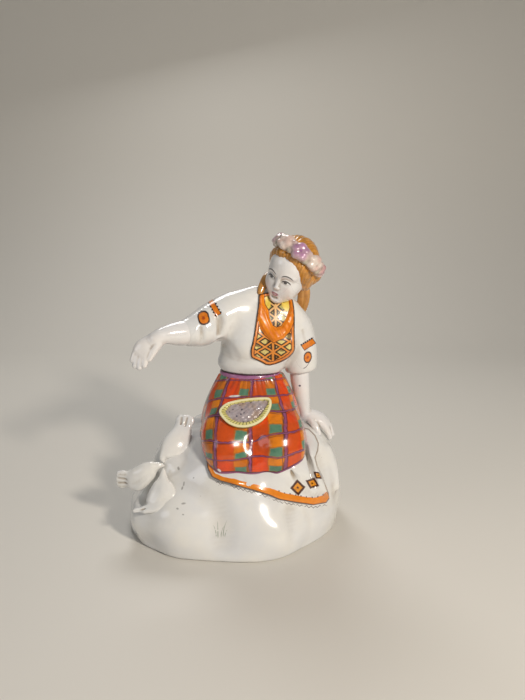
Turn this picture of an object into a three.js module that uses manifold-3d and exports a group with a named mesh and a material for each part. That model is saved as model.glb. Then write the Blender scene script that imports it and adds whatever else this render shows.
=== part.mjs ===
// A glazed porcelain figurine: a woman in folk dress kneels on a rocky mound, leans on one
// hand and feeds three doves with the other. Each node is one casting or one applied piece,
// as they are luted together with slip before firing. Millimetres, +Z up, the figure faces -Y,
// and the origin is on the table under the middle of the mound's foot.
import * as THREE from "three";
import { mergeVertices } from "three/addons/utils/BufferGeometryUtils.js";
import Module from "manifold-3d";

const wasm = await Module();
wasm.setup();

// ---- Driving dimensions ----
const lutingGap = 0.3; // the slip joint between two castings
const castWall = 3.2; // wall of the hollow castings

const moundFoot = { halfWidth: 54.5, halfDepth: 42.5, centreX: -1, squareness: 2.15, edge: 2.5 };
const moundTop = 50; // height of the seat on the mound
const drainHole = { x: -6, y: 12, z: 0, radius: 5 }; // lets slip out and air in during firing
const airHoles = { radius: 4, aboveMound: { x: 9, y: -5, z: 50 }, atWaist: { x: 8, y: -2, z: 75 } };

const waist = { x: 8, y: -2, z: 75, halfWidth: 13.4, halfDepth: 9.6 };
const neckBase = { x: 21.5, y: -1.5, z: 106.5 };
const head = { x: 27, y: -4, z: 123.6, size: 1.12, lean: 30, turn: -30, nod: 14 }; // degrees
const wreathRing = { radius: 9.4, thickness: 3.3, above: 7.6, flowers: 9 };
const dishSize = { halfWidth: 12, height: 14.5, depth: 3.2, rim: 1.7 };

// ---- Glazes ----
function glaze(colour, roughness = 0.18) {
  return new THREE.MeshStandardMaterial({ color: colour, roughness, metalness: 0 });
}
const white = glaze("#e9e4d8");
const skin = glaze("#efe8dd");
const plaid = glaze("#d2541a");
const orange = glaze("#e07d12");
const purple = glaze("#9a5c86");
const hairBrown = glaze("#b9772c");
const petalPink = glaze("#d9a7a4");
const petalPurple = glaze("#a0549a");
const straw = glaze("#c9bb6a");
const grainGrey = glaze("#857a80");
const lattice = glaze("#7a4a1c");

// ---- Shape helpers ----
const degrees = THREE.MathUtils.degToRad;
const point = (p) => new THREE.Vector3(p[0], p[1], p[2]);

/** Moves every vertex of a unit sphere with rings along +Z by place(angle, along), along from 0 to 1. */
function fromSphere(sides, rings, place) {
  const g = new THREE.SphereGeometry(1, sides, rings);
  const position = g.getAttribute("position");
  for (let i = 0; i < position.count; i++) {
    const column = i % (sides + 1);
    const row = Math.floor(i / (sides + 1));
    const angle = (column % sides) * ((2 * Math.PI) / sides);
    const p = place(angle, row / rings);
    position.setXYZ(i, p.x, p.y, p.z);
  }
  return facingOut(g);
}

/** The closed geometry with shared vertices and its faces turned out. */
function facingOut(geometry) {
  const g = geometry.clone();
  g.deleteAttribute("normal");
  g.deleteAttribute("uv");
  const merged = mergeVertices(g, 1e-4);
  if (signedVolume(merged) < 0) {
    const index = merged.index.array;
    for (let i = 0; i < index.length; i += 3) {
      [index[i + 1], index[i + 2]] = [index[i + 2], index[i + 1]];
    }
  }
  merged.computeVertexNormals();
  return merged;
}

function signedVolume(g) {
  const p = g.getAttribute("position");
  const index = g.index.array;
  const [a, b, c] = [new THREE.Vector3(), new THREE.Vector3(), new THREE.Vector3()];
  let volume = 0;
  for (let i = 0; i < index.length; i += 3) {
    a.fromBufferAttribute(p, index[i]);
    b.fromBufferAttribute(p, index[i + 1]);
    c.fromBufferAttribute(p, index[i + 2]);
    volume += a.dot(b.cross(c)) / 6;
  }
  return volume;
}

/** A copy of the geometry with its surface moved out along its normals (in, if distance is negative). */
function grown(geometry, distance) {
  const g = geometry.clone();
  const position = g.getAttribute("position");
  const normal = g.getAttribute("normal");
  for (let i = 0; i < position.count; i++) {
    position.setXYZ(
      i,
      position.getX(i) + normal.getX(i) * distance,
      position.getY(i) + normal.getY(i) * distance,
      position.getZ(i) + normal.getZ(i) * distance,
    );
  }
  return g;
}

function solid(geometry) {
  const g = geometry.clone();
  g.deleteAttribute("normal");
  g.deleteAttribute("uv");
  const merged = mergeVertices(g, 1e-4);
  return new wasm.Manifold(
    new wasm.Mesh({
      numProp: 3,
      vertProperties: merged.getAttribute("position").array,
      triVerts: new Uint32Array(merged.index.array),
    }),
  );
}

function geometryOf(manifold) {
  const m = manifold.getMesh();
  const g = new THREE.BufferGeometry();
  g.setAttribute("position", new THREE.BufferAttribute(m.vertProperties, 3));
  g.setIndex(new THREE.BufferAttribute(m.triVerts, 1));
  g.computeVertexNormals();
  return g;
}

/** The biggest connected body, so that slivers left by a cut fall away. */
function largest(manifold) {
  return manifold.decompose().sort((a, b) => b.volume() - a.volume())[0];
}

/** A limb, tail or braid: stations [x, y, z, half width, half thickness] joined by smooth curves.
 *  across points along the half width. */
function limb(stations, { across = [1, 0, 0], sides = 14, steps = 12, blunt = 0.12 } = {}) {
  const path = new THREE.CatmullRomCurve3(stations.map(point), false, "centripetal");
  const sizes = new THREE.CatmullRomCurve3(stations.map((s) => new THREE.Vector3(s[3], s[4], 0)));
  const wide = point(across);
  return fromSphere(sides, steps, (angle, along) => {
    const t = 0.5 - 0.5 * Math.cos(Math.PI * along);
    const end = Math.min(t, 1 - t) / blunt;
    const closing = end >= 1 ? 1 : Math.sqrt(Math.max(0, end * (2 - end)));
    const tangent = path.getTangent(t);
    const thick = new THREE.Vector3().crossVectors(tangent, wide).normalize();
    const side = new THREE.Vector3().crossVectors(thick, tangent).normalize();
    const size = sizes.getPoint(t);
    return path
      .getPoint(t)
      .addScaledVector(side, Math.cos(angle) * size.x * closing)
      .addScaledVector(thick, Math.sin(angle) * size.y * closing);
  });
}

/** A garment drawn as level sections: [z, centre x, centre y, half width, half depth].
 *  fold(angle, height share) scales a section's radius, and square is the section's squareness. */
function garment(sections, { sides = 30, rings = 18, square = 2.3, fold = () => 1 } = {}) {
  const heights = sections.map((s) => s[0]);
  const centres = new THREE.CatmullRomCurve3(sections.map((s) => new THREE.Vector3(s[1], s[2], s[0])));
  const sizes = new THREE.CatmullRomCurve3(sections.map((s) => new THREE.Vector3(s[3], s[4], s[0])));
  const capShare = 0.12;
  return fromSphere(sides, rings, (angle, along) => {
    const capped = Math.min(1, Math.min(along, 1 - along) / capShare);
    const t = Math.min(1, Math.max(0, (along - capShare) / (1 - 2 * capShare)));
    const centre = centres.getPoint(t);
    const size = sizes.getPoint(t);
    const reach = Math.pow(
      Math.pow(Math.abs(Math.cos(angle)), square) + Math.pow(Math.abs(Math.sin(angle)), square),
      -1 / square,
    );
    const k = reach * capped * fold(angle, (centre.z - heights[0]) / (heights.at(-1) - heights[0]));
    return new THREE.Vector3(
      centre.x + Math.cos(angle) * size.x * k,
      centre.y + Math.sin(angle) * size.y * k,
      centre.z,
    );
  });
}

/** An ellipsoid with its own turn, in degrees about X, Y and Z. */
function ellipsoid(centre, radii, turn = [0, 0, 0], sides = 18, rings = 12) {
  const g = new THREE.SphereGeometry(1, sides, rings);
  g.scale(...radii);
  g.applyMatrix4(new THREE.Matrix4().makeRotationFromEuler(new THREE.Euler(...turn.map(degrees), "XYZ")));
  g.translate(...centre);
  return facingOut(g);
}

function joined(...geometries) {
  return geometries.map(solid).reduce((a, b) => a.add(b));
}

// ---- The mound ----
/** Radius of the foot outline at an angle seen from above. */
function footRadius(angle) {
  const { halfWidth, halfDepth, squareness } = moundFoot;
  const c = Math.pow(Math.abs(Math.cos(angle)) / halfWidth, squareness);
  const s = Math.pow(Math.abs(Math.sin(angle)) / halfDepth, squareness);
  const wave = 1 + 0.012 * Math.sin(3 * angle + 0.6) + 0.01 * Math.sin(5 * angle + 2);
  return wave * Math.pow(c + s, -1 / squareness);
}

const moundRings = { all: 18, shoulder: 15 }; // the rings past the shoulder close the flat foot

/** The mound slopes gently on the doves' side and under the knees, and drops steeply under the
 *  leaning hand. */
function moundPoint(angle, along) {
  const foot = footRadius(angle);
  const ring = Math.round(along * moundRings.all);
  if (ring > moundRings.shoulder) {
    const k = (0.975 * (moundRings.all - ring)) / (moundRings.all - moundRings.shoulder - 1);
    return new THREE.Vector3(moundFoot.centreX + foot * k * Math.cos(angle), foot * k * Math.sin(angle), 0);
  }
  const share = Math.sin((ring / moundRings.shoulder) * (Math.PI / 2));
  const steep = Math.pow(Math.max(0, Math.cos(angle - 0.3)), 6);
  const behind = Math.max(0, Math.sin(angle));
  const gentle = Math.max(0, -Math.cos(angle));
  const flatness = 3 + 6 * steep + 2.5 * behind * (1 - steep) - 0.4 * gentle;
  const fall = 1.6 + 0.4 * steep - 0.6 * gentle;
  const drop = Math.pow(1 - Math.pow(share, flatness), 1 / fall);
  const ledge = 1.1 * Math.sin(4 * angle + 1) * share * drop + 0.8 * Math.sin(7 * angle) * share * drop;
  return new THREE.Vector3(
    moundFoot.centreX + (foot * share + ledge) * Math.cos(angle),
    (foot * share + ledge) * Math.sin(angle),
    moundFoot.edge + (moundTop - moundFoot.edge) * drop,
  );
}
const moundBody = fromSphere(36, moundRings.all, moundPoint);
const moundCore = fromSphere(18, moundRings.all, moundPoint);

/** An upright round hole through a casting's wall. */
function hole({ x, y, z }, radius) {
  const g = new THREE.CylinderGeometry(radius, radius, 5 * castWall, 20);
  g.rotateX(Math.PI / 2);
  g.translate(x, y, z);
  return solid(facingOut(g));
}

// ---- The skirts ----
const kneeAngles = [-1.95, -1.19]; // the knees press forward on both sides of the middle
function kneeFold(angle, height) {
  const a = angle > Math.PI ? angle - 2 * Math.PI : angle;
  const low = Math.exp(-Math.pow((height - 0.3) / 0.28, 2));
  const knees = kneeAngles.reduce((sum, k) => sum + Math.exp(-Math.pow((a - k) / 0.24, 2)), 0);
  const valley = Math.exp(-Math.pow((a + Math.PI / 2) / 0.16, 2));
  return 1 + low * (0.05 * knees - 0.05 * valley);
}
const skirtSections = [
  [34, 11, -9, 19, 23],
  [38, 11, -9.5, 23.5, 26.5],
  [43, 10, -9, 25.3, 26.5],
  [49, 9, -8.5, 25.3, 25],
  [55, 8.5, -6, 24.4, 21.5],
  [62, 8.5, -4, 22.6, 17.5],
  [69, 8.6, -2.8, 18.8, 13.2],
  [waist.z - 0.5, waist.x, waist.y, waist.halfWidth, waist.halfDepth],
];
const skirtBody = garment(skirtSections, { fold: kneeFold });
const skirtCore = garment(skirtSections, { sides: 16, rings: 10 });

/** The white underskirt spreads over the mound in front of the knees and towards the leaning
 *  hand, where it covers the folded legs. */
const underskirtHem = [
  [-12.4, -26],
  [-7, -31],
  [2, -33.8],
  [12, -34.6],
  [24, -33.4],
  [35, -30],
  [44, -21],
  [43, -13],
  [38, -6],
  [26, 2],
  [4, 10],
  [-10, 2],
  [-14, -14],
];
const underskirtCloth = 1.7; // how far it stands off the mound
const underskirtLowest = 19;
const foldedLegs = ellipsoid([32, -14, 33], [11, 15.5, 11], [0, 8, -12]);
function underskirt() {
  const shape = new THREE.Shape();
  shape.moveTo(...underskirtHem[0]);
  shape.splineThru(underskirtHem.slice(1).map((p) => new THREE.Vector2(...p)));
  shape.closePath();
  const above = new THREE.ExtrudeGeometry(shape, {
    depth: moundTop + 20, bevelEnabled: false, curveSegments: 4,
  });
  above.translate(0, 0, underskirtLowest);
  const cloth = solid(grown(moundBody, underskirtCloth)).add(solid(foldedLegs));
  return cloth.intersect(solid(facingOut(above)));
}

const waistbandBody = garment(
  [
    [waist.z - 2.2, waist.x + 0.2, waist.y, waist.halfWidth + 1.5, waist.halfDepth + 1.3],
    [waist.z, waist.x, waist.y, waist.halfWidth + 1.2, waist.halfDepth + 1.1],
    [waist.z + 1.6, waist.x, waist.y, waist.halfWidth + 0.8, waist.halfDepth + 0.8],
  ],
  { sides: 22, rings: 6 },
);

// ---- The bodice and what lies on it ----
const torsoStations = [
  [8, -2, 73.5, 13, 9.3],
  [8.6, -2.2, 78, 14, 10.2],
  [10.6, -2.8, 86, 17, 12.2],
  [13, -3, 94, 18.4, 13],
  [16.2, -2, 101, 17.6, 11],
  [19.4, -1.4, 106, 12, 7.6],
  [22, -1.5, 110, 5.6, 5.2],
];
const torsoBody = limb(torsoStations, { sides: 20, steps: 16, blunt: 0.05 });
const torsoCore = limb(torsoStations, { sides: 12, steps: 10, blunt: 0.05 });

/** The shield-shaped breast panel, drawn in the plane that faces the viewer. */
const panelOutline = [
  [13.4, 112],
  [12.4, 104],
  [10.4, 92],
  [9.6, 83.6],
  [12.4, 80.4],
  [17.4, 78.8],
  [23, 79.8],
  [27.6, 83.4],
  [29.2, 92],
  [28.6, 103],
  [28.2, 110],
];
function breastPanel() {
  const shape = new THREE.Shape();
  shape.moveTo(...panelOutline[0]);
  shape.splineThru(panelOutline.slice(1).map((p) => new THREE.Vector2(...p)));
  shape.closePath();
  const prism = new THREE.ExtrudeGeometry(shape, { depth: 30, bevelEnabled: false, curveSegments: 3 });
  prism.rotateX(Math.PI / 2); // the outline's y becomes z, and the depth runs to -Y
  return solid(facingOut(prism)).intersect(solid(grown(torsoBody, 1.5)));
}

const necklaceBody = limb(
  [
    [15.6, -9.6, 107.6, 1.7, 1.1],
    [13.4, -13.4, 101, 1.9, 1.3],
    [14.6, -16.6, 94.6, 2, 1.4],
    [18.6, -17.2, 91.6, 2, 1.4],
    [23, -15.6, 94.4, 2, 1.4],
    [25.6, -12.6, 100, 1.9, 1.3],
    [26.2, -9, 105.6, 1.7, 1.1],
  ],
  { across: [0, -0.35, 1], sides: 10, steps: 22, blunt: 0.05 },
);

// ---- Arms ----
const rightSleeve = limb(
  [
    [9, -1, 101.5, 9.5, 10],
    [0, -4, 103, 9.8, 10.4],
    [-7, -8, 100, 9.4, 9.8],
    [-13, -13, 97.4, 8.2, 8.4],
    [-18.5, -17.4, 95.6, 6.4, 6.4],
  ],
  { across: [0, 1, 0], sides: 16, steps: 12, blunt: 0.07 },
);
const rightForearm = limb(
  [
    [-12.5, -13.5, 96.2, 4.8, 4.6],
    [-19, -17.6, 95.2, 5, 4.7],
    [-25, -21, 95, 4.1, 3.7],
    [-31.5, -24.6, 95.4, 3, 2.8],
  ],
  { across: [0, 1, 0] },
);
const leftSleeve = limb(
  [
    [26.5, -1, 103.6, 6.6, 7.4],
    [30.4, -0.5, 98, 7.2, 8],
    [32.4, 0.6, 89, 7.2, 8],
    [32.6, 1.4, 81, 7.2, 7.8],
    [32.6, 2, 74.6, 6.2, 6.6],
  ],
  { sides: 16, steps: 12, blunt: 0.07 },
);
const leftForearm = limb([
  [32.6, 2, 79, 4.4, 4.4],
  [32.8, 2.6, 72, 4.7, 4.5],
  [33.8, 4, 61, 3.9, 3.7],
  [35.6, 5.2, 51.4, 2.8, 2.6],
]);

/** A hand from its wrist, the line to its knuckles, and a fingertip for each finger. */
function hand({ wrist, knuckles, across, width, thickness, tips, thumb }) {
  const side = point(across);
  const palm = limb(
    [
      [...wrist, width * 0.56, thickness],
      [...point(wrist).lerp(point(knuckles), 0.6), width * 0.95, thickness * 1.05],
      [...knuckles, width, thickness],
    ],
    { across, sides: 10, steps: 7, blunt: 0.15 },
  );
  const fingers = tips.map((tip, i) => {
    const root = point(knuckles).addScaledVector(side, width * (0.72 - 0.48 * i));
    root.lerp(point(wrist), 0.12);
    const bend = root.clone().lerp(point(tip), 0.55);
    return limb([
      [...root, 1.15, 1.2],
      [bend.x, bend.y, bend.z + 0.25, 1.1, 1.1],
      [...tip, 0.75, 0.8],
    ], { sides: 6, steps: 5, across, blunt: 0.2 });
  });
  const thumbBody = limb(thumb.map((p, i) => [...p, 1.3 - 0.2 * i, 1.3 - 0.2 * i]), {
    sides: 6, steps: 5, across, blunt: 0.2,
  });
  return joined(palm, ...fingers, thumbBody);
}
const rightHand = hand({
  wrist: [-31.2, -24.4, 95.2],
  knuckles: [-38.2, -27, 89.8],
  across: [0.42, -0.86, 0.28],
  width: 3.5,
  thickness: 1.9,
  tips: [
    [-41.2, -31, 82.4],
    [-42.6, -29.8, 81.2],
    [-43.6, -28, 81],
    [-44, -26.2, 82.4],
  ],
  thumb: [[-33.6, -27, 92], [-35.4, -29.6, 88], [-37, -30.4, 84.6]],
});
const leftHand = hand({
  wrist: [35.4, 5.2, 51.6],
  knuckles: [42.6, 6.8, 47.6],
  across: [0.1, 0.98, 0.1],
  width: 3.9,
  thickness: 1.9,
  tips: [
    [49, 11.6, 40.6],
    [50.4, 8.4, 40.2],
    [50.6, 5.2, 40],
    [49.4, 2, 40.6],
  ],
  thumb: [[38.4, 3, 49.4], [41.6, -0.4, 46], [44.6, -1.6, 43.4]],
});

// ---- Head, hair and wreath ----
const headTurn = new THREE.Matrix4()
  .makeTranslation(head.x, head.y, head.z)
  .multiply(new THREE.Matrix4().makeRotationY(degrees(head.lean)))
  .multiply(new THREE.Matrix4().makeRotationZ(degrees(head.turn)))
  .multiply(new THREE.Matrix4().makeRotationX(degrees(head.nod)))
  .multiply(new THREE.Matrix4().makeScale(head.size, head.size, head.size));
/** Places a shape made about the skull's middle, with the face towards -Y, on the leaning head. */
function onHead(geometry) {
  const g = geometry.clone();
  g.applyMatrix4(headTurn);
  return facingOut(g);
}
/** The skull narrows to the chin, with a small nose. */
function headPoint(angle, along) {
  const polar = Math.PI * along;
  const z = Math.cos(polar);
  const jaw = z < 0 ? 1 - 0.3 * z * z : 1;
  const front = Math.max(0, -Math.sin(angle));
  const p = new THREE.Vector3(
    8.1 * Math.sin(polar) * Math.cos(angle) * jaw,
    9.2 * Math.sin(polar) * Math.sin(angle) * (z < 0 ? 1 - 0.12 * z * z : 1),
    11.6 * z,
  );
  const nose = Math.exp(-Math.pow((z + 0.22) / 0.16, 2)) * Math.pow(front, 40);
  p.y -= 1.7 * nose;
  const chin = Math.max(0, -z - 0.5) * Math.sin(polar);
  p.y -= 3 * front * chin;
  return p;
}
const headBody = onHead(fromSphere(22, 16, headPoint));
const neckBody = limb([
  [neckBase.x - 1, neckBase.y, neckBase.z - 3, 5.4, 5.2],
  [neckBase.x + 0.6, neckBase.y - 0.4, neckBase.z + 3, 4.3, 4.3],
  [24.6, -2.4, 115, 4.4, 4.6],
], { blunt: 0.05 });

/** The hair covers the skull behind the hairline and swells over the ears. */
function hairPoint(angle, along) {
  const polar = Math.PI * along;
  return new THREE.Vector3(
    9.9 * Math.sin(polar) * Math.cos(angle),
    10.2 * Math.sin(polar) * Math.sin(angle) + 1.9,
    11.4 * Math.cos(polar) + 2.2,
  );
}
const hairBody = onHead(fromSphere(20, 12, hairPoint));
/** The face opening is left clear of hair. */
const faceOpening = onHead(ellipsoid([0, -11.4, -3.6], [8, 7.4, 11.6], [0, 0, 0], 18, 12));
const ribbons = {
  ribbon_left: [
    [23.4, 5.2, 117, 2.6, 1.2],
    [22, 9.4, 111, 2.7, 1.2],
    [19.4, 11.8, 103, 2.8, 1.1],
    [17.6, 12.4, 94, 2.9, 1],
  ],
  ribbon_right: [
    [31.6, 4.6, 118, 2.8, 1.3],
    [31.6, 7.2, 111, 2.7, 1.2],
    [29.8, 10, 103.6, 2.7, 1.1],
    [26.6, 12.2, 95, 2.8, 1],
  ],
};

function wreathBand() {
  const g = new THREE.TorusGeometry(wreathRing.radius, wreathRing.thickness, 9, 28);
  g.scale(1, 1.02, 0.95);
  g.translate(0, 0.8, wreathRing.above);
  return onHead(g);
}
/** A blossom with five rounded petals, facing away from the middle of the wreath. */
function blossom(i) {
  const around = (i / wreathRing.flowers) * 2 * Math.PI - Math.PI / 2;
  const reach = wreathRing.radius + wreathRing.thickness * 0.85;
  const size = i % 2 ? 2.6 : 3.2;
  const g = fromSphere(15, 5, (angle, along) => {
    const polar = Math.PI * along;
    const petal = size * Math.sin(polar) * (0.86 + 0.16 * Math.cos(5 * angle));
    return new THREE.Vector3(
      petal * Math.cos(angle), petal * Math.sin(angle), 0.55 * size * Math.cos(polar),
    );
  });
  g.rotateY(Math.PI / 2 - 0.35);
  g.rotateZ(around);
  g.translate(reach * Math.cos(around), reach * Math.sin(around) + 0.8, wreathRing.above + 1.4);
  return onHead(g);
}

// ---- The dish of grain on the lap ----
const lapTilt = degrees(48);
function halfMoon(halfWidth, height) {
  const shape = new THREE.Shape();
  shape.moveTo(-halfWidth, height * 0.26);
  shape.quadraticCurveTo(0, height * 0.5, halfWidth, height * 0.42);
  shape.quadraticCurveTo(halfWidth * 1.04, height * 0.1, halfWidth * 0.7, -height * 0.2);
  shape.quadraticCurveTo(halfWidth * 0.2, -height * 0.62, -halfWidth * 0.4, -height * 0.4);
  shape.quadraticCurveTo(-halfWidth * 1.02, -height * 0.2, -halfWidth, height * 0.26);
  return shape;
}
function onLap(shape, depth, lift) {
  const g = new THREE.ExtrudeGeometry(shape, {
    depth, bevelEnabled: true, bevelThickness: 0.5, bevelSize: 0.5, bevelSegments: 2, curveSegments: 8,
  });
  g.translate(0, 0, lift);
  g.rotateX(lapTilt);
  g.rotateY(degrees(-4));
  g.translate(6.4, -21.4, 62.4);
  return facingOut(g);
}
const dishOuter = onLap(halfMoon(dishSize.halfWidth, dishSize.height), dishSize.depth, -1.6);
const dishInner = onLap(
  halfMoon(dishSize.halfWidth - dishSize.rim, dishSize.height - 2 * dishSize.rim), dishSize.depth, 0.2,
);
const grainBody = onLap(
  halfMoon(dishSize.halfWidth - dishSize.rim - 0.5, dishSize.height - 2 * dishSize.rim - 1), 0.4, 0.9,
);

// ---- The doves ----
/** A dove from its beak to its tail, with folded wings. Each is cast in one piece with its wings
 *  and tail luted on. */
function dove(beak, breast, rump, tail, { wingSpread = 2.6, fan = 4.6, up = [0, 0, 1] } = {}) {
  const [b, c, r, t] = [beak, breast, rump, tail].map(point);
  const lie = t.clone().sub(b).normalize();
  const across = new THREE.Vector3().crossVectors(lie, point(up)).normalize();
  const over = new THREE.Vector3().crossVectors(across, lie).normalize();
  const flat = across.toArray();
  const neck = b.clone().lerp(c, 0.45);
  const body = limb(
    [
      [...b.toArray(), 0.7, 0.7],
      [...b.clone().lerp(c, 0.25).toArray(), 1.9, 1.9],
      [...neck.toArray(), 2.2, 2.4],
      [...c.toArray(), 4.4, 4.3],
      [...r.toArray(), 2.9, 2.8],
      [...r.clone().lerp(t, 0.25).toArray(), 2, 1.6],
    ],
    { across: flat, sides: 12, steps: 12, blunt: 0.08 },
  );
  const tailBody = limb(
    [
      [...r.toArray(), 2.1, 1.2],
      [...r.clone().lerp(t, 0.5).toArray(), fan * 0.66, 1.1],
      [...t.toArray(), fan, 1],
    ],
    { across: flat, sides: 10, steps: 6, blunt: 0.14 },
  );
  const wings = [1, -1].map((s) => {
    const shoulder = c.clone().lerp(b, 0.22).addScaledVector(across, s * 3.1).addScaledVector(over, 1.6);
    const middle = c.clone().lerp(r, 0.5).addScaledVector(across, s * wingSpread * 1.3).addScaledVector(over, 2.2);
    const tip = r.clone().lerp(t, 0.3).addScaledVector(across, s * wingSpread * 0.7).addScaledVector(over, 1.7);
    return limb(
      [
        [...shoulder.toArray(), 1.6, 0.9],
        [...middle.toArray(), 2.6, 1.1],
        [...tip.toArray(), 1, 0.7],
      ],
      { across: flat, sides: 8, steps: 6, blunt: 0.2 },
    );
  });
  return { body, tail: tailBody, wing_near: wings[0], wing_far: wings[1] };
}
const doves = {
  dove_upper: dove([-31.6, -18.4, 36.6], [-27.6, -12.4, 41.6], [-24.4, -8.4, 46.6], [-22.6, -6.4, 53.6], {
    up: [-0.6, -0.6, 0.6],
  }),
  dove_left: dove([-33.4, -21.2, 35], [-40, -20.8, 30.6], [-45.6, -20.4, 28.6], [-51.8, -20, 29.4], {
    up: [0, -0.3, 1],
  }),
  dove_front: dove([-31.4, -23.6, 35], [-31.4, -28.6, 28.4], [-34, -32.2, 23], [-41.6, -34.4, 19.4], {
    up: [0.2, -0.7, 0.7],
  }),
};

// ---- Assembly: each piece is cut back by the neighbours that it is luted onto ----
const pieces = [
  { name: "mound", body: moundBody, material: white, core: moundCore },
  { name: "skirt", body: skirtBody, material: plaid, onto: ["mound"], core: skirtCore },
  { name: "underskirt", shape: underskirt(), material: white, onto: ["mound", "skirt"] },
  { name: "torso", body: torsoBody, material: white, onto: ["skirt"], core: torsoCore },
  { name: "waistband", body: waistbandBody, material: purple, onto: ["skirt", "torso"] },
  {
    name: "breast_panel",
    shape: breastPanel(),
    material: lattice,
    onto: ["torso", "neck", "sleeve_left", "sleeve_right"],
  },
  { name: "neck", body: neckBody, material: skin, onto: ["torso"] },
  { name: "head", body: headBody, material: skin, onto: ["neck"] },
  { name: "hair", body: hairBody, material: hairBrown, onto: ["head", "neck"], clear: [faceOpening] },
  { name: "wreath", body: wreathBand(), material: petalPink, onto: ["hair", "head"] },
  { name: "sleeve_right", body: rightSleeve, material: white, onto: ["torso", "neck"] },
  { name: "forearm_right", body: rightForearm, material: skin, onto: ["sleeve_right"] },
  { name: "hand_right", shape: rightHand, material: skin, onto: ["forearm_right"] },
  { name: "sleeve_left", body: leftSleeve, material: white, onto: ["torso", "neck"] },
  { name: "forearm_left", body: leftForearm, material: skin, onto: ["sleeve_left", "skirt"] },
  { name: "hand_left", shape: leftHand, material: skin, onto: ["forearm_left", "mound"] },
  { name: "dish", body: dishOuter, material: straw, onto: ["skirt"], clear: [dishInner] },
  { name: "grain", body: grainBody, material: grainGrey, onto: ["skirt"] },
];
const bodies = Object.fromEntries(pieces.filter((p) => p.body).map((p) => [p.name, p.body]));
const panelBlock = grown(torsoBody, 1.5 + lutingGap); // keeps later pieces off the panel's surface
pieces.push({
  name: "necklace",
  body: necklaceBody,
  material: orange,
  onto: ["neck", "head", "sleeve_right", "sleeve_left"],
  clear: [panelBlock],
});
for (const [name, stations] of Object.entries(ribbons)) {
  pieces.push({
    name,
    body: limb(stations, { sides: 10, steps: 10, blunt: 0.08 }),
    material: hairBrown,
    onto: ["hair", "head", "neck", "torso", "sleeve_right", "sleeve_left", "wreath"],
  });
}
for (let i = 0; i < wreathRing.flowers; i++) {
  pieces.push({
    name: `blossom_${i + 1}`,
    body: blossom(i),
    material: i % 3 === 1 ? petalPurple : petalPink,
    onto: ["wreath", "hair"],
  });
}
const doveParts = [];
for (const [bird, parts] of Object.entries(doves)) {
  for (const [part, body] of Object.entries(parts)) {
    const name = part === "body" ? bird : `${bird}_${part}`;
    doveParts.push({ name, body, material: white, bird });
  }
}
doveParts.forEach((piece, i) => {
  bodies[piece.name] = piece.body;
  const earlier = doveParts.slice(0, i).map((p) => p.name);
  pieces.push({ ...piece, onto: ["mound", "skirt", ...earlier] });
});

/** The inside left when slip is poured out of the mould, one wall in from the outside, with the
 *  holes that join the three hollows and open them under the foot. */
function hollowOf(core) {
  return solid(grown(core, -castWall))
    .add(hole(drainHole, drainHole.radius))
    .add(hole(airHoles.aboveMound, airHoles.radius))
    .add(hole(airHoles.atWaist, airHoles.radius));
}

const figurine = new THREE.Group();
for (const { name, body, core, shape, material, onto = [], clear = [] } of pieces) {
  let made = shape ?? solid(body);
  if (core) made = made.subtract(hollowOf(core));
  for (const other of onto) made = made.subtract(solid(grown(bodies[other], lutingGap)));
  for (const space of clear) made = made.subtract(solid(space));
  const mesh = new THREE.Mesh(geometryOf(largest(made)), material);
  mesh.name = name;
  figurine.add(mesh);
}
export default figurine;
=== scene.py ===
import math

import bpy
import numpy as np
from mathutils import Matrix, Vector


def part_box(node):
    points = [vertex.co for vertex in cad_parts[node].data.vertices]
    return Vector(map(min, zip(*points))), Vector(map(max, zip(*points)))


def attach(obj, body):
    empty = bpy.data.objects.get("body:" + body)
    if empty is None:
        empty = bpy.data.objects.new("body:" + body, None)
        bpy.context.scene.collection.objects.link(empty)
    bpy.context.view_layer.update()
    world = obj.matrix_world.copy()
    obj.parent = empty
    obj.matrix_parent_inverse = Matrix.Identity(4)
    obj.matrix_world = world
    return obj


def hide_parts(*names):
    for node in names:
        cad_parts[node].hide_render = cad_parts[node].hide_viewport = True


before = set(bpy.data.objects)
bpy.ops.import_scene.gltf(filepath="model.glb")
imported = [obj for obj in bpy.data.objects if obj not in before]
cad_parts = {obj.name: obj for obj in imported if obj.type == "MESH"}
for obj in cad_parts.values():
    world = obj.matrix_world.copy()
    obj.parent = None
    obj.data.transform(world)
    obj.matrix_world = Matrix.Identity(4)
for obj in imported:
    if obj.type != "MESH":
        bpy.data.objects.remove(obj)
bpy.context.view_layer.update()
print("frame loaded")

# Lengths in this script are millimetres, in the CAD frame, until a mesh is made.
metresPerMm = 0.001
coarser = 1.0
farAway = np.float32(8.0)


# Small helpers for places and directions.
def vec(*values):
    return np.array(values, dtype=np.float64)


def unit(v):
    v = np.asarray(v, dtype=np.float64)
    return v / max(np.linalg.norm(v), 1e-9)


def turnMatrix(degreesX, degreesY, degreesZ):
    a, b, c = (math.radians(d) for d in (degreesX, degreesY, degreesZ))
    rx = np.array([[1, 0, 0], [0, math.cos(a), -math.sin(a)], [0, math.sin(a), math.cos(a)]])
    ry = np.array([[math.cos(b), 0, math.sin(b)], [0, 1, 0], [-math.sin(b), 0, math.cos(b)]])
    rz = np.array([[math.cos(c), -math.sin(c), 0], [math.sin(c), math.cos(c), 0], [0, 0, 1]])
    return rx, ry, rz


def splinePoints(stations, count):
    # Catmull-Rom through the stations, each a row of any length.
    p = np.array(stations, dtype=np.float64)
    p = np.vstack([2 * p[0] - p[1], p, 2 * p[-1] - p[-2]])
    spans = len(p) - 3
    t = np.linspace(0, spans, count)
    i = np.minimum(t.astype(int), spans - 1)
    f = (t - i)[:, None]
    a, b, c, d = p[i], p[i + 1], p[i + 2], p[i + 3]
    return 0.5 * (
        2 * b + (c - a) * f + (2 * a - 5 * b + 4 * c - d) * f**2 + (3 * b - a - 3 * c + d) * f**3
    )


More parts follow.
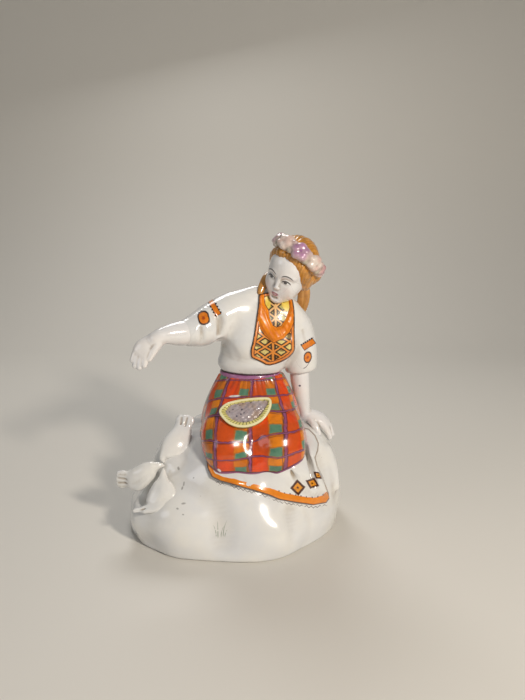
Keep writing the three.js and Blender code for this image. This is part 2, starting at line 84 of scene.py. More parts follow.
def smoothStep(low, high, value):
    t = np.clip((value - low) / (high - low), 0, 1)
    return t * t * (3 - 2 * t)


def bump(value, middle, width):
    return np.exp(-(((value - middle) / width) ** 2))


# A shape is (distance function, lowest corner, highest corner). Clay joins and cuts shapes with
# soft edges on a grid, as a modeller's thumb does, and is then covered with a fine skin.
def blob(centre, radii, turn=(0, 0, 0)):
    centre, radii = vec(*centre), vec(*radii)
    rx, ry, rz = turnMatrix(*turn)
    axes = (rz @ ry @ rx).T
    reach = np.abs(axes.T) @ radii

    def distance(x, y, z):
        x, y, z = x - centre[0], y - centre[1], z - centre[2]
        k0 = 0
        k1 = 0
        for axis, r in zip(axes, radii):
            along = axis[0] * x + axis[1] * y + axis[2] * z
            k0 = k0 + (along / r) ** 2
            k1 = k1 + (along / r**2) ** 2
        k0, k1 = np.sqrt(k0), np.sqrt(k1)
        return k0 * (k0 - 1) / np.maximum(k1, 1e-6)

    return distance, centre - reach, centre + reach


def limb(stations, across=None, count=None):
    # Stations are x, y, z, radius and, with across, a second radius at right angles to across.
    rows = [list(s) + [s[3]] * (5 - len(s)) for s in stations]
    p = splinePoints(rows, count or 4 * len(rows))
    widest = p[:, 3:5].max()
    low, high = p[:, :3].min(0) - widest, p[:, :3].max(0) + widest

    def distance(x, y, z):
        nearest = None
        for a, b in zip(p[:-1], p[1:]):
            lie = b[:3] - a[:3]
            dx, dy, dz = x - a[0], y - a[1], z - a[2]
            h = np.clip((dx * lie[0] + dy * lie[1] + dz * lie[2]) / max(lie @ lie, 1e-9), 0, 1)
            dx, dy, dz = dx - h * lie[0], dy - h * lie[1], dz - h * lie[2]
            wide = a[3] + h * (b[3] - a[3])
            if across is None:
                d = np.sqrt(dx * dx + dy * dy + dz * dz) - wide
            else:
                thick = a[4] + h * (b[4] - a[4])
                flat = unit(across)
                w = dx * flat[0] + dy * flat[1] + dz * flat[2]
                rest2 = np.maximum(dx * dx + dy * dy + dz * dz - w * w, 0)
                k0 = np.sqrt((w / wide) ** 2 + rest2 / thick**2)
                k1 = np.sqrt((w / wide**2) ** 2 + rest2 / thick**4)
                d = k0 * (k0 - 1) / np.maximum(k1, 1e-6)
            nearest = d if nearest is None else np.minimum(nearest, d)
        return nearest

    return distance, low, high


class Clay:
    def __init__(self, low, high, cell):
        self.cell = np.float32(cell * coarser)
        self.low = vec(*low)
        self.axes = [
            np.arange(lo, hi + self.cell, self.cell, dtype=np.float32) for lo, hi in zip(low, high)
        ]
        self.field = np.full([len(a) for a in self.axes], farAway, dtype=np.float32)

    def patch(self, low, high, margin):
        window = []
        for axis, lo, hi in zip(self.axes, low, high):
            i = int(np.searchsorted(axis, lo - margin))
            j = int(np.searchsorted(axis, hi + margin))
            window.append(slice(max(i - 1, 0), max(j + 1, 1)))
        x, y, z = (a[w] for a, w in zip(self.axes, window))
        return tuple(window), (x[:, None, None], y[None, :, None], z[None, None, :])

    def everywhere(self):
        x, y, z = self.axes
        return x[:, None, None], y[None, :, None], z[None, None, :]

    def add(self, shape, blend=0.8):
        distance, low, high = shape
        window, place = self.patch(low, high, blend + 3)
        old = self.field[window]
        if old.size:
            new = distance(*place).astype(np.float32)
            h = np.clip(blend - np.abs(old - new), 0, None) / blend
            self.field[window] = np.minimum(old, new) - h * h * blend * 0.25

    def cut(self, shape, blend=0.6):
        distance, low, high = shape
        window, place = self.patch(low, high, blend + 3)
        old = self.field[window]
        if old.size:
            new = -distance(*place).astype(np.float32)
            h = np.clip(blend - np.abs(old - new), 0, None) / blend
            self.field[window] = np.maximum(old, new) + h * h * blend * 0.25

    def keep(self, values, blend=0.6):
        # Keeps what is inside another field of the same grid, with a rounded edge.
        new = values.astype(np.float32)
        h = np.clip(blend - np.abs(self.field - new), 0, None) / blend
        self.field = np.maximum(self.field, new) + h * h * blend * 0.25

    def press(self, depth):
        # Moves the surface out by depth, an array or a function of place.
        self.field = self.field - (depth(*self.everywhere()) if callable(depth) else depth)

    def at(self, points):
        return sampleGrid(self.field, self.low, self.cell, points)

    def slopes(self, points):
        step = float(self.cell) * 0.6
        columns = []
        for k in range(3):
            shift = np.zeros(3)
            shift[k] = step
            columns.append((self.at(points + shift) - self.at(points - shift)) / (2 * step))
        return np.stack(columns, 1)


def sampleGrid(field, low, cell, points):
    g = (points - low) / cell
    top = np.array(field.shape) - 2
    i = np.clip(np.floor(g).astype(int), 0, top)
    f = np.clip(g - i, 0, 1)
    total = 0
    for dx in (0, 1):
        for dy in (0, 1):
            for dz in (0, 1):
                weight = (
                    (f[:, 0] if dx else 1 - f[:, 0])
                    * (f[:, 1] if dy else 1 - f[:, 1])
                    * (f[:, 2] if dz else 1 - f[:, 2])
                )
                total = total + weight * field[i[:, 0] + dx, i[:, 1] + dy, i[:, 2] + dz]
    return total


def skinOf(clay, relax=3):
    # Surface nets: one vertex in each cell that the surface crosses, one quad for each crossed edge.
    field = clay.field
    for axis in range(3):
        ends = [slice(None)] * 3
        for end in (0, -1):
            ends[axis] = end
            field[tuple(ends)] = np.maximum(field[tuple(ends)], 0.01)
    inside = field < 0
    shape = np.array(field.shape) - 1
    corners = [(a, b, c) for a in (0, 1) for b in (0, 1) for c in (0, 1)]
    filled = np.zeros(shape, dtype=np.int8)
    for a, b, c in corners:
        filled += inside[a : a + shape[0], b : b + shape[1], c : c + shape[2]]
    cells = np.argwhere((filled > 0) & (filled < 8))
    number = np.full(shape, -1, dtype=np.int64)
    number[tuple(cells.T)] = np.arange(len(cells))
    total = np.zeros((len(cells), 3))
    crossings = np.zeros(len(cells))
    for a in corners:
        for axis in range(3):
            if a[axis]:
                continue
            b = list(a)
            b[axis] = 1
            va = field[tuple((cells + a).T)].astype(np.float64)
            vb = field[tuple((cells + b).T)].astype(np.float64)
            crossed = (va < 0) != (vb < 0)
            t = np.where(crossed, va / np.where(crossed, va - vb, 1), 0)
            point = np.tile(np.array(a, dtype=np.float64), (len(cells), 1))
            point[:, axis] += t
            total += point * crossed[:, None]
            crossings += crossed
    points = clay.low + float(clay.cell) * (cells + total / crossings[:, None])
    quads = []
    for axis in range(3):
        u, v = [k for k in range(3) if k != axis]
        here = [slice(1, n) for n in shape]
        here[axis] = slice(0, shape[axis])
        there = list(here)
        there[axis] = slice(1, shape[axis] + 1)
        a, b = inside[tuple(here)], inside[tuple(there)]
        edges = np.argwhere(a != b)
        start = np.ones(3, dtype=int)
        start[axis] = 0
        starts = edges + start
        stepU, stepV = np.zeros(3, dtype=int), np.zeros(3, dtype=int)
        stepU[u] = stepV[v] = 1
        ring = [number[tuple((starts - s).T)] for s in (0 * stepU, stepU, stepU + stepV, stepV)]
        quad = np.stack(ring, 1)
        flip = a[tuple(edges.T)]
        if axis == 1:
            flip = ~flip
        quad[flip] = quad[flip][:, ::-1]
        quads.append(quad)
    quads = np.vstack(quads)
    quads = quads[(quads >= 0).all(1)][:, ::-1]
    ends = np.concatenate([quads[:, [k, (k + 1) % 4]] for k in range(4)])
    degree = np.maximum(np.bincount(ends[:, 0], minlength=len(points)), 1)
    for _ in range(relax):
        average = np.stack(
            [
                np.bincount(ends[:, 0], weights=points[ends[:, 1], k], minlength=len(points))
                for k in range(3)
            ],
            1,
        ) / degree[:, None]
        points = 0.4 * points + 0.6 * average
        slope = clay.slopes(points)
        steep = np.maximum((slope**2).sum(1), 0.05)
        step = np.clip(clay.at(points) / steep, -0.5 * clay.cell, 0.5 * clay.cell)
        points = points - slope * step[:, None]
    return points, quads


def creviceOf(clay, points, reach=0.9):
    # How far a point lies in a hollow, from 0 to 1.
    total = -6 * clay.at(points)
    for k in range(3):
        shift = np.zeros(3)
        shift[k] = reach
        total = total + clay.at(points + shift) + clay.at(points - shift)
    return np.clip(-total / reach * 1.4, 0, 1)


# From a skin of quads to a piece that rides on the body of the figurine.
def fillAttribute(mesh, name, values):
    values = np.asarray(values, dtype=np.float32)
    kind = {1: "FLOAT", 3: "FLOAT_VECTOR", 4: "FLOAT_COLOR"}[1 if values.ndim == 1 else values.shape[1]]
    field = {"FLOAT": "value", "FLOAT_VECTOR": "vector", "FLOAT_COLOR": "color"}[kind]
    mesh.attributes.new(name, kind, "POINT").data.foreach_set(field, values.ravel())


def makePiece(name, points, quads, material, nodes, attributes=None):
    mesh = bpy.data.meshes.new(name)
    mesh.vertices.add(len(points))
    mesh.vertices.foreach_set("co", (points * metresPerMm).astype(np.float32).ravel())
    mesh.loops.add(4 * len(quads))
    mesh.loops.foreach_set("vertex_index", quads.astype(np.int32).ravel())
    mesh.polygons.add(len(quads))
    mesh.polygons.foreach_set("loop_start", np.arange(0, 4 * len(quads), 4, dtype=np.int32))
    mesh.update(calc_edges=True)
    mesh.validate()
    mesh.shade_smooth()
    for key, values in (attributes or {}).items():
        fillAttribute(mesh, key, values)
    mesh.materials.append(material)
    piece = bpy.data.objects.new(name, mesh)
    bpy.context.scene.collection.objects.link(piece)
    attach(piece, "root")
    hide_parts(*nodes)
    print("made", name, len(quads))
    return piece


def finishClay(name, clay, material, nodes, extra=None, place=None, relax=3):
    # extra gives more attributes from the points; place moves finished points to the CAD frame.
    points, quads = skinOf(clay, relax)
    attributes = {"crevice": creviceOf(clay, points)}
    if extra is not None:
        attributes.update(extra(points))
    if place is not None:
        points = place(points)
    return makePiece(name, points, quads, material, nodes, attributes)


def boxOf(*nodes):
    corners = [[vec(*c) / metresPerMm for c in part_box(n)] for n in nodes]
    return np.min([c[0] for c in corners], 0), np.max([c[1] for c in corners], 0)


# Colours are sRGB hex values, turned to linear by one function.
def hexColour(text):
    parts = [int(text[i : i + 2], 16) / 255 for i in (1, 3, 5)]
    linear = [c / 12.92 if c <= 0.04045 else ((c + 0.055) / 1.055) ** 2.4 for c in parts]
    return (*linear, 1.0)


porcelainColours = {
    "glaze": "#ebe9e3",
    "hollow": "#a08f7a",
    "cool": "#d6dae2",
    "speck": "#6b6255",
    "skin": "#f0ece8",
}
# Typical values for glazed hard porcelain, and the real sizes of what can be seen in the glaze.
porcelain = {
    "ior": 1.52,
    "specular": 0.55,
    "coatRough": 0.05,
    "coatIor": 1.5,
    "enamelRough": 0.08,  # how much rougher enamel is than the glaze
    "cloudMm": 14.0,  # drifts of cooler white
    "dustMm": 2.2,
    "speckMm": 7.0,  # from one iron speck to the next
    "speckShare": 0.022,  # a speck's radius as a share of that
    "rippleDepth": 0.0006,  # metres
    "rippleStrength": 0.06,
}
paintColours = {
    "redOrange": "#ea4a08",
    "orange": "#ee8a0a",
    "green": "#5e8a70",
    "mauve": "#98527e",
    "outline": "#3a1c18",
    "dark": "#1f1a22",
    "lip": "#a8586a",
}


# Node trees: paint is laid over glaze by masks, each from 0 to 1.
def addNode(tree, kind, inputs=(), **settings):
    node = tree.nodes.new(kind)
    for key, value in settings.items():
        setattr(node, key, value)
    for socket, value in dict(inputs).items():
        if isinstance(value, bpy.types.NodeSocket):
            tree.links.new(value, node.inputs[socket])
        else:
            node.inputs[socket].default_value = value
    return node


def calc(tree, operation, *values):
    return addNode(tree, "ShaderNodeMath", enumerate(values), operation=operation).outputs[0]


def stepMask(tree, value, edge, soft):
    # 0 below the edge and 1 above it.
    limits = {0: value, 1: edge - soft, 2: edge + soft, 3: 0.0, 4: 1.0}
    return addNode(
        tree, "ShaderNodeMapRange", limits, interpolation_type="SMOOTHSTEP", clamp=True
    ).outputs[0]


def bandMask(tree, value, low, high, soft):
    above = stepMask(tree, value, low, soft)
    past = stepMask(tree, value, high, soft)
    return calc(tree, "SUBTRACT", above, past)


def both(tree, *masks):
    result = masks[0]
    for mask in masks[1:]:
        result = calc(tree, "MULTIPLY", result, mask)
    return result


def either(tree, *masks):
    result = masks[0]
    for mask in masks[1:]:
        result = calc(tree, "MAXIMUM", result, mask)
    return result


def paintOver(tree, below, colour, mask, share=1.0):
    # Lays a colour over what is below it where the mask is 1, share being how well it covers.
    above = hexColour(colour) if isinstance(colour, str) else colour
    if share != 1.0:
        mask = calc(tree, "MULTIPLY", mask, share)
    return addNode(
        tree, "ShaderNodeMix", {0: mask, 6: below, 7: above}, data_type="RGBA", clamp_factor=True
    ).outputs[2]


def fieldNoise(tree, place, sizeMm, detail=2.0, rough=0.5):
    # place is in millimetres, and sizeMm is the size of one lump of the pattern.
    settings = {"Vector": place, "Scale": 1 / sizeMm, "Detail": detail, "Roughness": rough}
    return addNode(tree, "ShaderNodeTexNoise", settings).outputs[0]


def patches(tree, place, sizeMm, edge, soft, detail=2.0):
    # Irregular patches of one size: the higher the edge, the fewer they are.
    return stepMask(tree, fieldNoise(tree, place, sizeMm, detail), edge, soft)


def placeMm(tree):
    source = addNode(tree, "ShaderNodeTexCoord").outputs["Object"]
    return addNode(
        tree, "ShaderNodeVectorMath", {0: source, "Scale": 1 / metresPerMm}, operation="SCALE"
    ).outputs[0]


def attributeOf(tree, name, output="Fac"):
    return addNode(tree, "ShaderNodeAttribute", attribute_name=name).outputs[output]


def splitVector(tree, vector):
    return addNode(tree, "ShaderNodeSeparateXYZ", {0: vector}).outputs


def spotDistance(tree, x, y, centre, radii, turn=0.0, power=2.0):
    # 1 on the outline of an ellipse (power 2) or a rhomb (power 1), less inside it.
    c, s = math.cos(math.radians(turn)), math.sin(math.radians(turn))
    dx, dy = calc(tree, "SUBTRACT", x, centre[0]), calc(tree, "SUBTRACT", y, centre[1])
    u = calc(
        tree, "ADD", calc(tree, "MULTIPLY", dx, c / radii[0]), calc(tree, "MULTIPLY", dy, s / radii[0])
    )
    v = calc(
        tree, "ADD", calc(tree, "MULTIPLY", dx, -s / radii[1]), calc(tree, "MULTIPLY", dy, c / radii[1])
    )
    if power == 1.0:
        return calc(tree, "ADD", calc(tree, "ABSOLUTE", u), calc(tree, "ABSOLUTE", v))
    raised = [calc(tree, "POWER", calc(tree, "ABSOLUTE", side), power) for side in (u, v)]
    return calc(tree, "POWER", calc(tree, "ADD", *raised), 1 / power)


def insideMask(tree, distance, edge, soft):
    return calc(tree, "SUBTRACT", 1.0, stepMask(tree, distance, edge, soft))


def arcMask(tree, x, y, start, middle, end, halfWidth, soft):
    # A brush stroke along a parabola from start to end, rising to middle, that thins to its ends.
    lengthX = end[0] - start[0]
    t = calc(tree, "DIVIDE", calc(tree, "SUBTRACT", x, start[0]), lengthX)
    rise = middle[1] - 0.5 * (start[1] + end[1])
    hump = calc(tree, "MULTIPLY", calc(tree, "MULTIPLY", t, calc(tree, "SUBTRACT", 1.0, t)), 4 * rise)
    chord = calc(tree, "ADD", calc(tree, "MULTIPLY", t, end[1] - start[1]), start[1])
    off = calc(tree, "ABSOLUTE", calc(tree, "SUBTRACT", y, calc(tree, "ADD", chord, hump)))
    ends = calc(tree, "MULTIPLY", bandMask(tree, t, 0.0, 1.0, 0.06), halfWidth)
    return calc(tree, "SUBTRACT", 1.0, stepMask(tree, calc(tree, "SUBTRACT", off, ends), 0.0, soft))


def fired(name, paint=None, base="glaze", roughness=0.16, rippleMm=5.0, coat=0.5):
    # Hard white porcelain under a clear glaze. paint adds enamel over it and returns the colour
    # and, if it has one, the share of the surface that is enamel, which is a little less glossy.
    material = bpy.data.materials.new(name)
    material.use_nodes = True
    tree = material.node_tree
    tree.nodes.clear()
    place = placeMm(tree)
    cloudy = fieldNoise(tree, place, porcelain["cloudMm"], 3.0)
    colour = paintOver(
        tree,
        hexColour(porcelainColours[base]),
        porcelainColours["cool"],
        stepMask(tree, cloudy, 0.5, 0.25), 0.5,
    )
    # The hollows are painted darker and warmer: partly glaze pooled and dust settled there, partly
    # painted shade.
    crevice = attributeOf(tree, "crevice")
    dusty = calc(tree, "ADD", fieldNoise(tree, place, porcelain["dustMm"]), 0.3)
    dustAndShade = calc(tree, "MULTIPLY", crevice, dusty)
    colour = paintOver(tree, colour, porcelainColours["hollow"], dustAndShade, 0.9)
    # A few pinholes and iron specks from the kiln.
    spacing = {"Vector": place, "Scale": 1 / porcelain["speckMm"], "Randomness": 1.0}
    cells = addNode(tree, "ShaderNodeTexVoronoi", spacing)
    speck = insideMask(tree, cells.outputs["Distance"], porcelain["speckShare"], 0.01)
    colour = paintOver(tree, colour, porcelainColours["speck"], speck, 0.5)
    enamel = 0.0
    if paint is not None:
        colour, enamel = paint(tree, colour, place)
    ripple = addNode(
        tree,
        "ShaderNodeBump",
        {
            "Strength": porcelain["rippleStrength"],
            "Distance": porcelain["rippleDepth"],
            "Height": fieldNoise(tree, place, rippleMm, 1.0),
        },
    )
    if isinstance(enamel, float):  # the same all over, so it is set on the shader itself
        surfaceRough = roughness + porcelain["enamelRough"] * enamel
    else:
        rougher = calc(tree, "MULTIPLY", enamel, porcelain["enamelRough"])
        surfaceRough = calc(tree, "ADD", rougher, roughness)
    shader = addNode(
        tree,
        "ShaderNodeBsdfPrincipled",
        {
            "Base Color": colour,
            "Roughness": surfaceRough,
            "IOR": porcelain["ior"],
            "Specular IOR Level": porcelain["specular"],
            "Coat Weight": coat,
            "Coat Roughness": porcelain["coatRough"],
            "Coat IOR": porcelain["coatIor"],
            "Normal": ripple.outputs[0],
        },
    )
    addNode(tree, "ShaderNodeOutputMaterial", {"Surface": shader.outputs[0]})
    return material


def brushed(tree, place, colour, darker, sizeMm=3.0):
    # Enamel laid on with a brush: its thickness, and so its depth of colour, varies.
    uneven = fieldNoise(tree, place, sizeMm, 3.0, 0.6)
    return paintOver(tree, hexColour(colour), darker, stepMask(tree, uneven, 0.55, 0.2), 0.55)


def wobbled(tree, place, value, amount, sizeMm):
    noise = fieldNoise(tree, place, sizeMm, 2.0)
    shift = calc(tree, "MULTIPLY", calc(tree, "SUBTRACT", noise, 0.5), 2 * amount)
    return calc(tree, "ADD", value, shift)


# Paint is laid out as it is seen from in front: across and up, in mm on a plane at arm's length.
viewer = {
    "eye": (13.9, -280.0, 145.0),
    "pitch": math.radians(12),
    "reach": 272.0,
    "sensorMm": 36.0,
    "lensShare": 6 / 7,  # focal length over the width of the sensor
    "nearest": 0.01,  # metres
}


def seenFrom(x, y, z):
    c, s = math.cos(viewer["pitch"]), math.sin(viewer["pitch"])
    dx, dy, dz = x - viewer["eye"][0], y - viewer["eye"][1], z - viewer["eye"][2]
    depth = dy * c - dz * s
    scale = viewer["reach"] / depth
    return dx * scale, (dy * s + dz * c) * scale


def layOver(clay, below, thick):
    # Starts a clay as the clay below it, grown by its own thickness.
    shape = clay.field.shape
    places = [np.broadcast_to(grid, shape).ravel() for grid in clay.everywhere()]
    clay.field = (below.at(np.stack(places, 1)).reshape(shape) - thick).astype(np.float32)


def seenAttribute(points):
    across, up = seenFrom(*points.T)
    return {"seen": np.stack([across, up, points[:, 1]], 1)}


def outlineDistance(a, b, outline, closed=True):
    # Signed distance to a closed outline, negative inside, or plain distance to an open line.
    outline = np.array(outline, dtype=np.float32)
    best, inside = None, None
    ends = np.roll(outline, -1, 0) if closed else outline[1:]
    for start, end in zip(outline, ends):
        ex, ey = end - start
        wx, wy = a - start[0], b - start[1]
        h = np.clip((wx * ex + wy * ey) / (ex * ex + ey * ey + 1e-9), 0, 1)
        d = (wx - h * ex) ** 2 + (wy - h * ey) ** 2
        best = d if best is None else np.minimum(best, d)
        slant = (start[0] - end[0]) * (b - end[1]) / (start[1] - end[1] + 1e-9)
        crosses = ((end[1] > b) != (start[1] > b)) & (a < slant + end[0])
        inside = crosses if inside is None else inside ^ crosses
    return np.sqrt(best) * (np.where(inside, -1, 1) if closed else 1)


def rounded(outline, times=1):
    # Cuts the corners off a closed outline.
    for _ in range(times):
        cut = []
        for (ax, ay), (bx, by) in zip(outline, outline[1:] + outline[:1]):
            cut += [((1 - s) * ax + s * bx, (1 - s) * ay + s * by) for s in (0.25, 0.75)]
        outline = cut
    return outline


def seenParts(tree):
    # Across and up as seen from in front, and the depth in the CAD frame.
    return splitVector(tree, attributeOf(tree, "seen", "Vector"))


def facing(tree):
    # 1 where the surface looks towards the front, so that paint does not go through to the back.
    normal = addNode(tree, "ShaderNodeNewGeometry").outputs["Normal"]
    towards = (0.0, -math.cos(viewer["pitch"]), math.sin(viewer["pitch"]))
    toward = addNode(
        tree, "ShaderNodeVectorMath", {0: normal, 1: towards}, operation="DOT_PRODUCT"
    ).outputs["Value"]
    return stepMask(tree, toward, 0.06, 0.05)


def wobbledPair(tree, place, across, up, amount, sizeMm):
    return wobbled(tree, place, across, amount, sizeMm), wobbled(tree, place, up, amount, sizeMm * 1.17)


# The mound is the hollow rock that the woman sits on.
mound = {"foot": (54.5, 42.5), "middleX": -1.0, "squareness": 2.15, "top": 50.0, "cell": 0.75}


def footRadius(angle):
    (a, b), k = mound["foot"], mound["squareness"]
    across = (np.abs(np.cos(angle)) / a) ** k + (np.abs(np.sin(angle)) / b) ** k
    wave = 1 + 0.012 * np.sin(3 * angle + 0.6) + 0.01 * np.sin(5 * angle + 2)
    return wave * across ** (-1 / k)


def moundField(x, y, z):
    # Distance to the dome, as its implicit value over its slope.
    px = x - mound["middleX"]
    angle = np.arctan2(y, px)
    radius = np.sqrt(px * px + y * y)
    foot = footRadius(angle)
    steep = np.clip(np.cos(angle - 0.3), 0, 1) ** 6
    behind = np.clip(np.sin(angle), 0, 1)
    gentle = np.clip(-np.cos(angle), 0, 1)
    flatness = 3 + 6 * steep + 2.5 * behind * (1 - steep) - 0.4 * gentle
    fall = 1.6 + 0.4 * steep - 0.6 * gentle
    share = np.clip(radius / foot, 0.02, 1.6)
    height = np.clip((z - 2.5) / (mound["top"] - 2.5), 0.0, 1.6)
    value = share**flatness + height**fall - 1
    slopeR = flatness * share ** (flatness - 1) / foot
    slopeZ = fall * np.maximum(height, 0.02) ** (fall - 1) / (mound["top"] - 2.5)
    return value / np.sqrt(slopeR**2 + slopeZ**2 + 1e-4)


def rockFolds(x, y, z):
    # Soft lumps all over, with upright creases on the steep side under the hand and behind.
    lumps = 0.9 * np.sin(x / 9.0 + 1.3 * np.sin(y / 11.0)) * np.sin(z / 8.0 + y / 13.0 + 1.0)
    lumps = lumps + 0.5 * np.sin(x / 5.1 + z / 6.3) * np.sin(y / 6.1 - z / 9.0)
    angle = np.arctan2(y, x - mound["middleX"])
    side = smoothStep(-0.6, -0.1, angle) * (1 - smoothStep(1.6, 2.4, angle))
    creases = np.sin(9 * angle + 0.06 * z) + 0.5 * np.sin(17 * angle - 0.05 * z + 2)
    back = smoothStep(1.9, 2.4, angle) * 0.5
    return lumps * smoothStep(0.0, 9.0, z) * 0.8 + (side + back) * creases * smoothStep(4, 16, z) * 0.8


moundLow, moundHigh = boxOf("mound")
moundClay = Clay(moundLow - 3, moundHigh + vec(3, 3, 4), mound["cell"])
gridX, gridY, gridZ = moundClay.everywhere()
moundClay.field = moundField(gridX, gridY, gridZ).astype(np.float32)
moundClay.press(rockFolds)
# The shelf and hollow where the doves feed, and the long soft folds of the front.
moundClay.add(blob((-35.5, -25, 12), (11, 9, 13)), 7)
moundClay.add(blob((-29, -10, 32), (9, 9, 10)), 6)
moundClay.add(blob((-26, -17, 34), (5, 4, 4)), 4)
moundClay.cut(blob((-40.5, -27.5, 25.5), (5.6, 7.5, 5.6), (0, 30, 0)), 3)
moundClay.add(blob((-22, -34, 14), (12, 8, 11)), 9)
moundClay.add(blob((14, -35, 9), (15, 7.5, 9)), 9)
moundClay.cut(limb([(-6, -41.5, 30, 2.6), (-4, -46, 20, 4.2), (-3, -48.5, 9, 3.2)]), 6)
moundClay.cut(limb([(27, -35, 20, 1.4), (29, -39.5, 13, 3.0), (30, -41.5, 6, 2.2)]), 5)
moundClay.cut(limb([(40, -13, 40, 0.8), (46, -18, 30, 2.2), (49.5, -21, 20, 2.2), (51, -22, 10, 1.0)]), 4)
moundClay.add(limb([(46, -6, 38, 2.5), (48.5, -8, 30, 3), (50, -10, 20, 3)]), 4)
# The foot is drawn in a little and stands flat.
drawnIn = 2.6 * smoothStep(10, 50, gridX) + 3.4 * smoothStep(-22, -48, gridX)
drawnIn = drawnIn + 1.2 * smoothStep(0, 20, gridY) - 0.8 * smoothStep(0, -25, gridY)
moundClay.press(
    -drawnIn * smoothStep(12, 0, gridZ) - 1.9 * smoothStep(22, 50, gridX) * smoothStep(20, 0, gridY)
)
moundClay.keep(-gridZ, 1.6)
# The drain hole in the foot, as a blind recess.
drain = {"at": (-6, 12), "radius": 5, "from": -4, "to": 6}
drainEnds = [(*drain["at"], drain[end], drain["radius"]) for end in ("from", "to")]
moundClay.cut(limb(drainEnds), 0.5)

hemLine = [
    (-25.6, -49), (-25.1, -53.7), (-23.1, -57.6), (-19.3, -59.5), (-11, -61.8), (-5.5, -63.4),
    (2.3, -65.7), (7.9, -68), (15.5, -69.4), (23.1, -70.4), (29.0, -69.4), (30.4, -67.5),
]
foldLine = [
    (30.4, -67.5), (30.1, -64.9), (28.7, -60.9), (27.2, -56.8), (25.2, -52.8), (24.1, -48.7),
    (25.4, -45.7), (25.6, -42.2), (24.1, -38.6), (21.1, -35.6), (17, -34.8),
]
underOutline = hemLine + foldLine[1:] + [(6, -36), (-12, -38), (-22, -42)]
grassStrokes = [
    (-21.0, -84.4, -22.2, -79.5), (-20.2, -84.8, -20.4, -77.8), (-18.8, -84.6, -17.6, -80.0),
    (-17.8, -84.2, -16.2, -77.4), (-17.0, -84.6, -16.0, -81.4),
]
strewnGrains = [
    (-38.1, -53.7, 0.5, 0.8, 10), (-35.7, -60.7, 0.35, 1.0, -8), (-36.4, -62.6, 0.4, 0.8, -20),
    (-35.8, -69.6, 0.9, 0.45, 10), (-38.6, -71.9, 0.5, 0.4, 0), (-31.2, -58.0, 0.4, 0.3, 0),
    (-36.0, -74.6, 0.4, 0.3, 0),
]


# Bare white glaze, with a few lines and dabs of thin enamel.
def paintMound(tree, colour, place):
    across, up, depth = seenParts(tree)
    hem = attributeOf(tree, "hem")
    plan = attributeOf(tree, "plan")
    front = insideMask(tree, depth, -5.0, 1.0)
    # Lace: a fine scalloped line drawn along the hem.
    saw = calc(tree, "PINGPONG", wobbled(tree, place, across, 0.6, 3.5), 1.0)
    lace = calc(
        tree, "SUBTRACT", wobbled(tree, place, hem, 0.3, 3.0),
        calc(tree, "ADD", calc(tree, "MULTIPLY", saw, 0.7), 0.55),
    )
    laceMask = insideMask(tree, calc(tree, "ABSOLUTE", lace), 0.17, 0.1)
    broken = patches(tree, place, 5.0, 0.42, 0.06)
    drawn = both(
        tree, laceMask, broken, bandMask(tree, across, -21.0, 29.0, 1.0), stepMask(tree, plan, 0.0, 0.1),
        front,
    )
    colour = paintOver(tree, colour, "#4a3a38", drawn, 0.85)
    # Tufts of grass, in quick strokes of a nearly dry brush.
    strokes = 0.0
    for footA, footU, tipA, tipU in grassStrokes:
        t = calc(tree, "DIVIDE", calc(tree, "SUBTRACT", up, footU), tipU - footU)
        bend = calc(tree, "MULTIPLY", calc(tree, "MULTIPLY", t, t), tipA - footA)
        off = calc(tree, "ABSOLUTE", calc(tree, "SUBTRACT", across, calc(tree, "ADD", bend, footA)))
        wide = calc(tree, "MULTIPLY", calc(tree, "SUBTRACT", 1.0, t), 0.16)
        stroke = insideMask(tree, calc(tree, "SUBTRACT", off, wide), 0.06, 0.12)
        strokes = either(tree, strokes, both(tree, stroke, bandMask(tree, t, 0.0, 1.0, 0.1)))
    dry = calc(tree, "MULTIPLY", patches(tree, place, 0.9, 0.38, 0.1), 0.7)
    colour = paintOver(tree, colour, "#6f8060", both(tree, strokes, front, dry))
    # Grains of food dabbed beside the doves.
    dabs = 0.0
    wa, wu = wobbledPair(tree, place, across, up, 0.25, 0.9)
    for a, b, wide, tall, turn in strewnGrains:
        dabs = either(
            tree, dabs, insideMask(tree, spotDistance(tree, wa, wu, (a, b), (wide, tall), turn), 1.0, 0.5)
        )
    colour = paintOver(tree, colour, "#6d6860", both(tree, dabs, front), 0.6)
    return colour, 0.0


def hemAttributes(points):
    across, up = seenFrom(*points.T)
    return {
        **seenAttribute(points),
        "hem": outlineDistance(across, up, hemLine, closed=False),
        "plan": outlineDistance(across, up, underOutline),
        "fold": outlineDistance(across, up, foldLine, closed=False),
    }


moundMaterial = fired("mound_glaze", paintMound, rippleMm=7.0)
finishClay("mound_rock", moundClay, moundMaterial, ["mound"], hemAttributes)

# The wrap skirt, drawn over both knees.
skirt = {"cell": 0.45, "middle": (8.6, -6.0), "waistZ": 74.5}
skirtLow, skirtHigh = boxOf("skirt")
skirtClay = Clay(skirtLow - 3, skirtHigh + 3, skirt["cell"])
skirtClay.add(
    limb(
        [
            (8.2, -2, 76, 13.4, 9.8), (8.5, -2.2, 69, 17.2, 12.2), (8.4, -2.6, 61, 20.8, 15.4),
            (8.2, -2.6, 52, 23.4, 18.5), (8.4, -2, 44, 24, 19.5),
        ],
        across=(1, 0, 0),
    ),
    2,
)
skirtClay.add(
    limb([(1.5, -7, 56, 13), (-1.5, -18, 50, 12.6), (-1.6, -24.2, 45.6, 11.2), (-1, -24.5, 40, 10.5)]), 5
)
skirtClay.add(
    limb([(16, -7, 56, 13), (20.5, -18, 50.5, 12.6), (21.8, -24.2, 46, 11.4), (22, -24, 40, 10.5)]), 5
)
skirtClay.add(blob((9.5, -16, 49), (12, 14, 12.5)), 6)
skirtClay.add(blob((9.6, -25.5, 41.5), (9, 10.2, 9)), 4)
skirtClay.add(blob((-6, -10, 44), (9.5, 11, 9)), 5)
skirtClay.add(blob((26, -12, 44), (8, 11, 9)), 5)
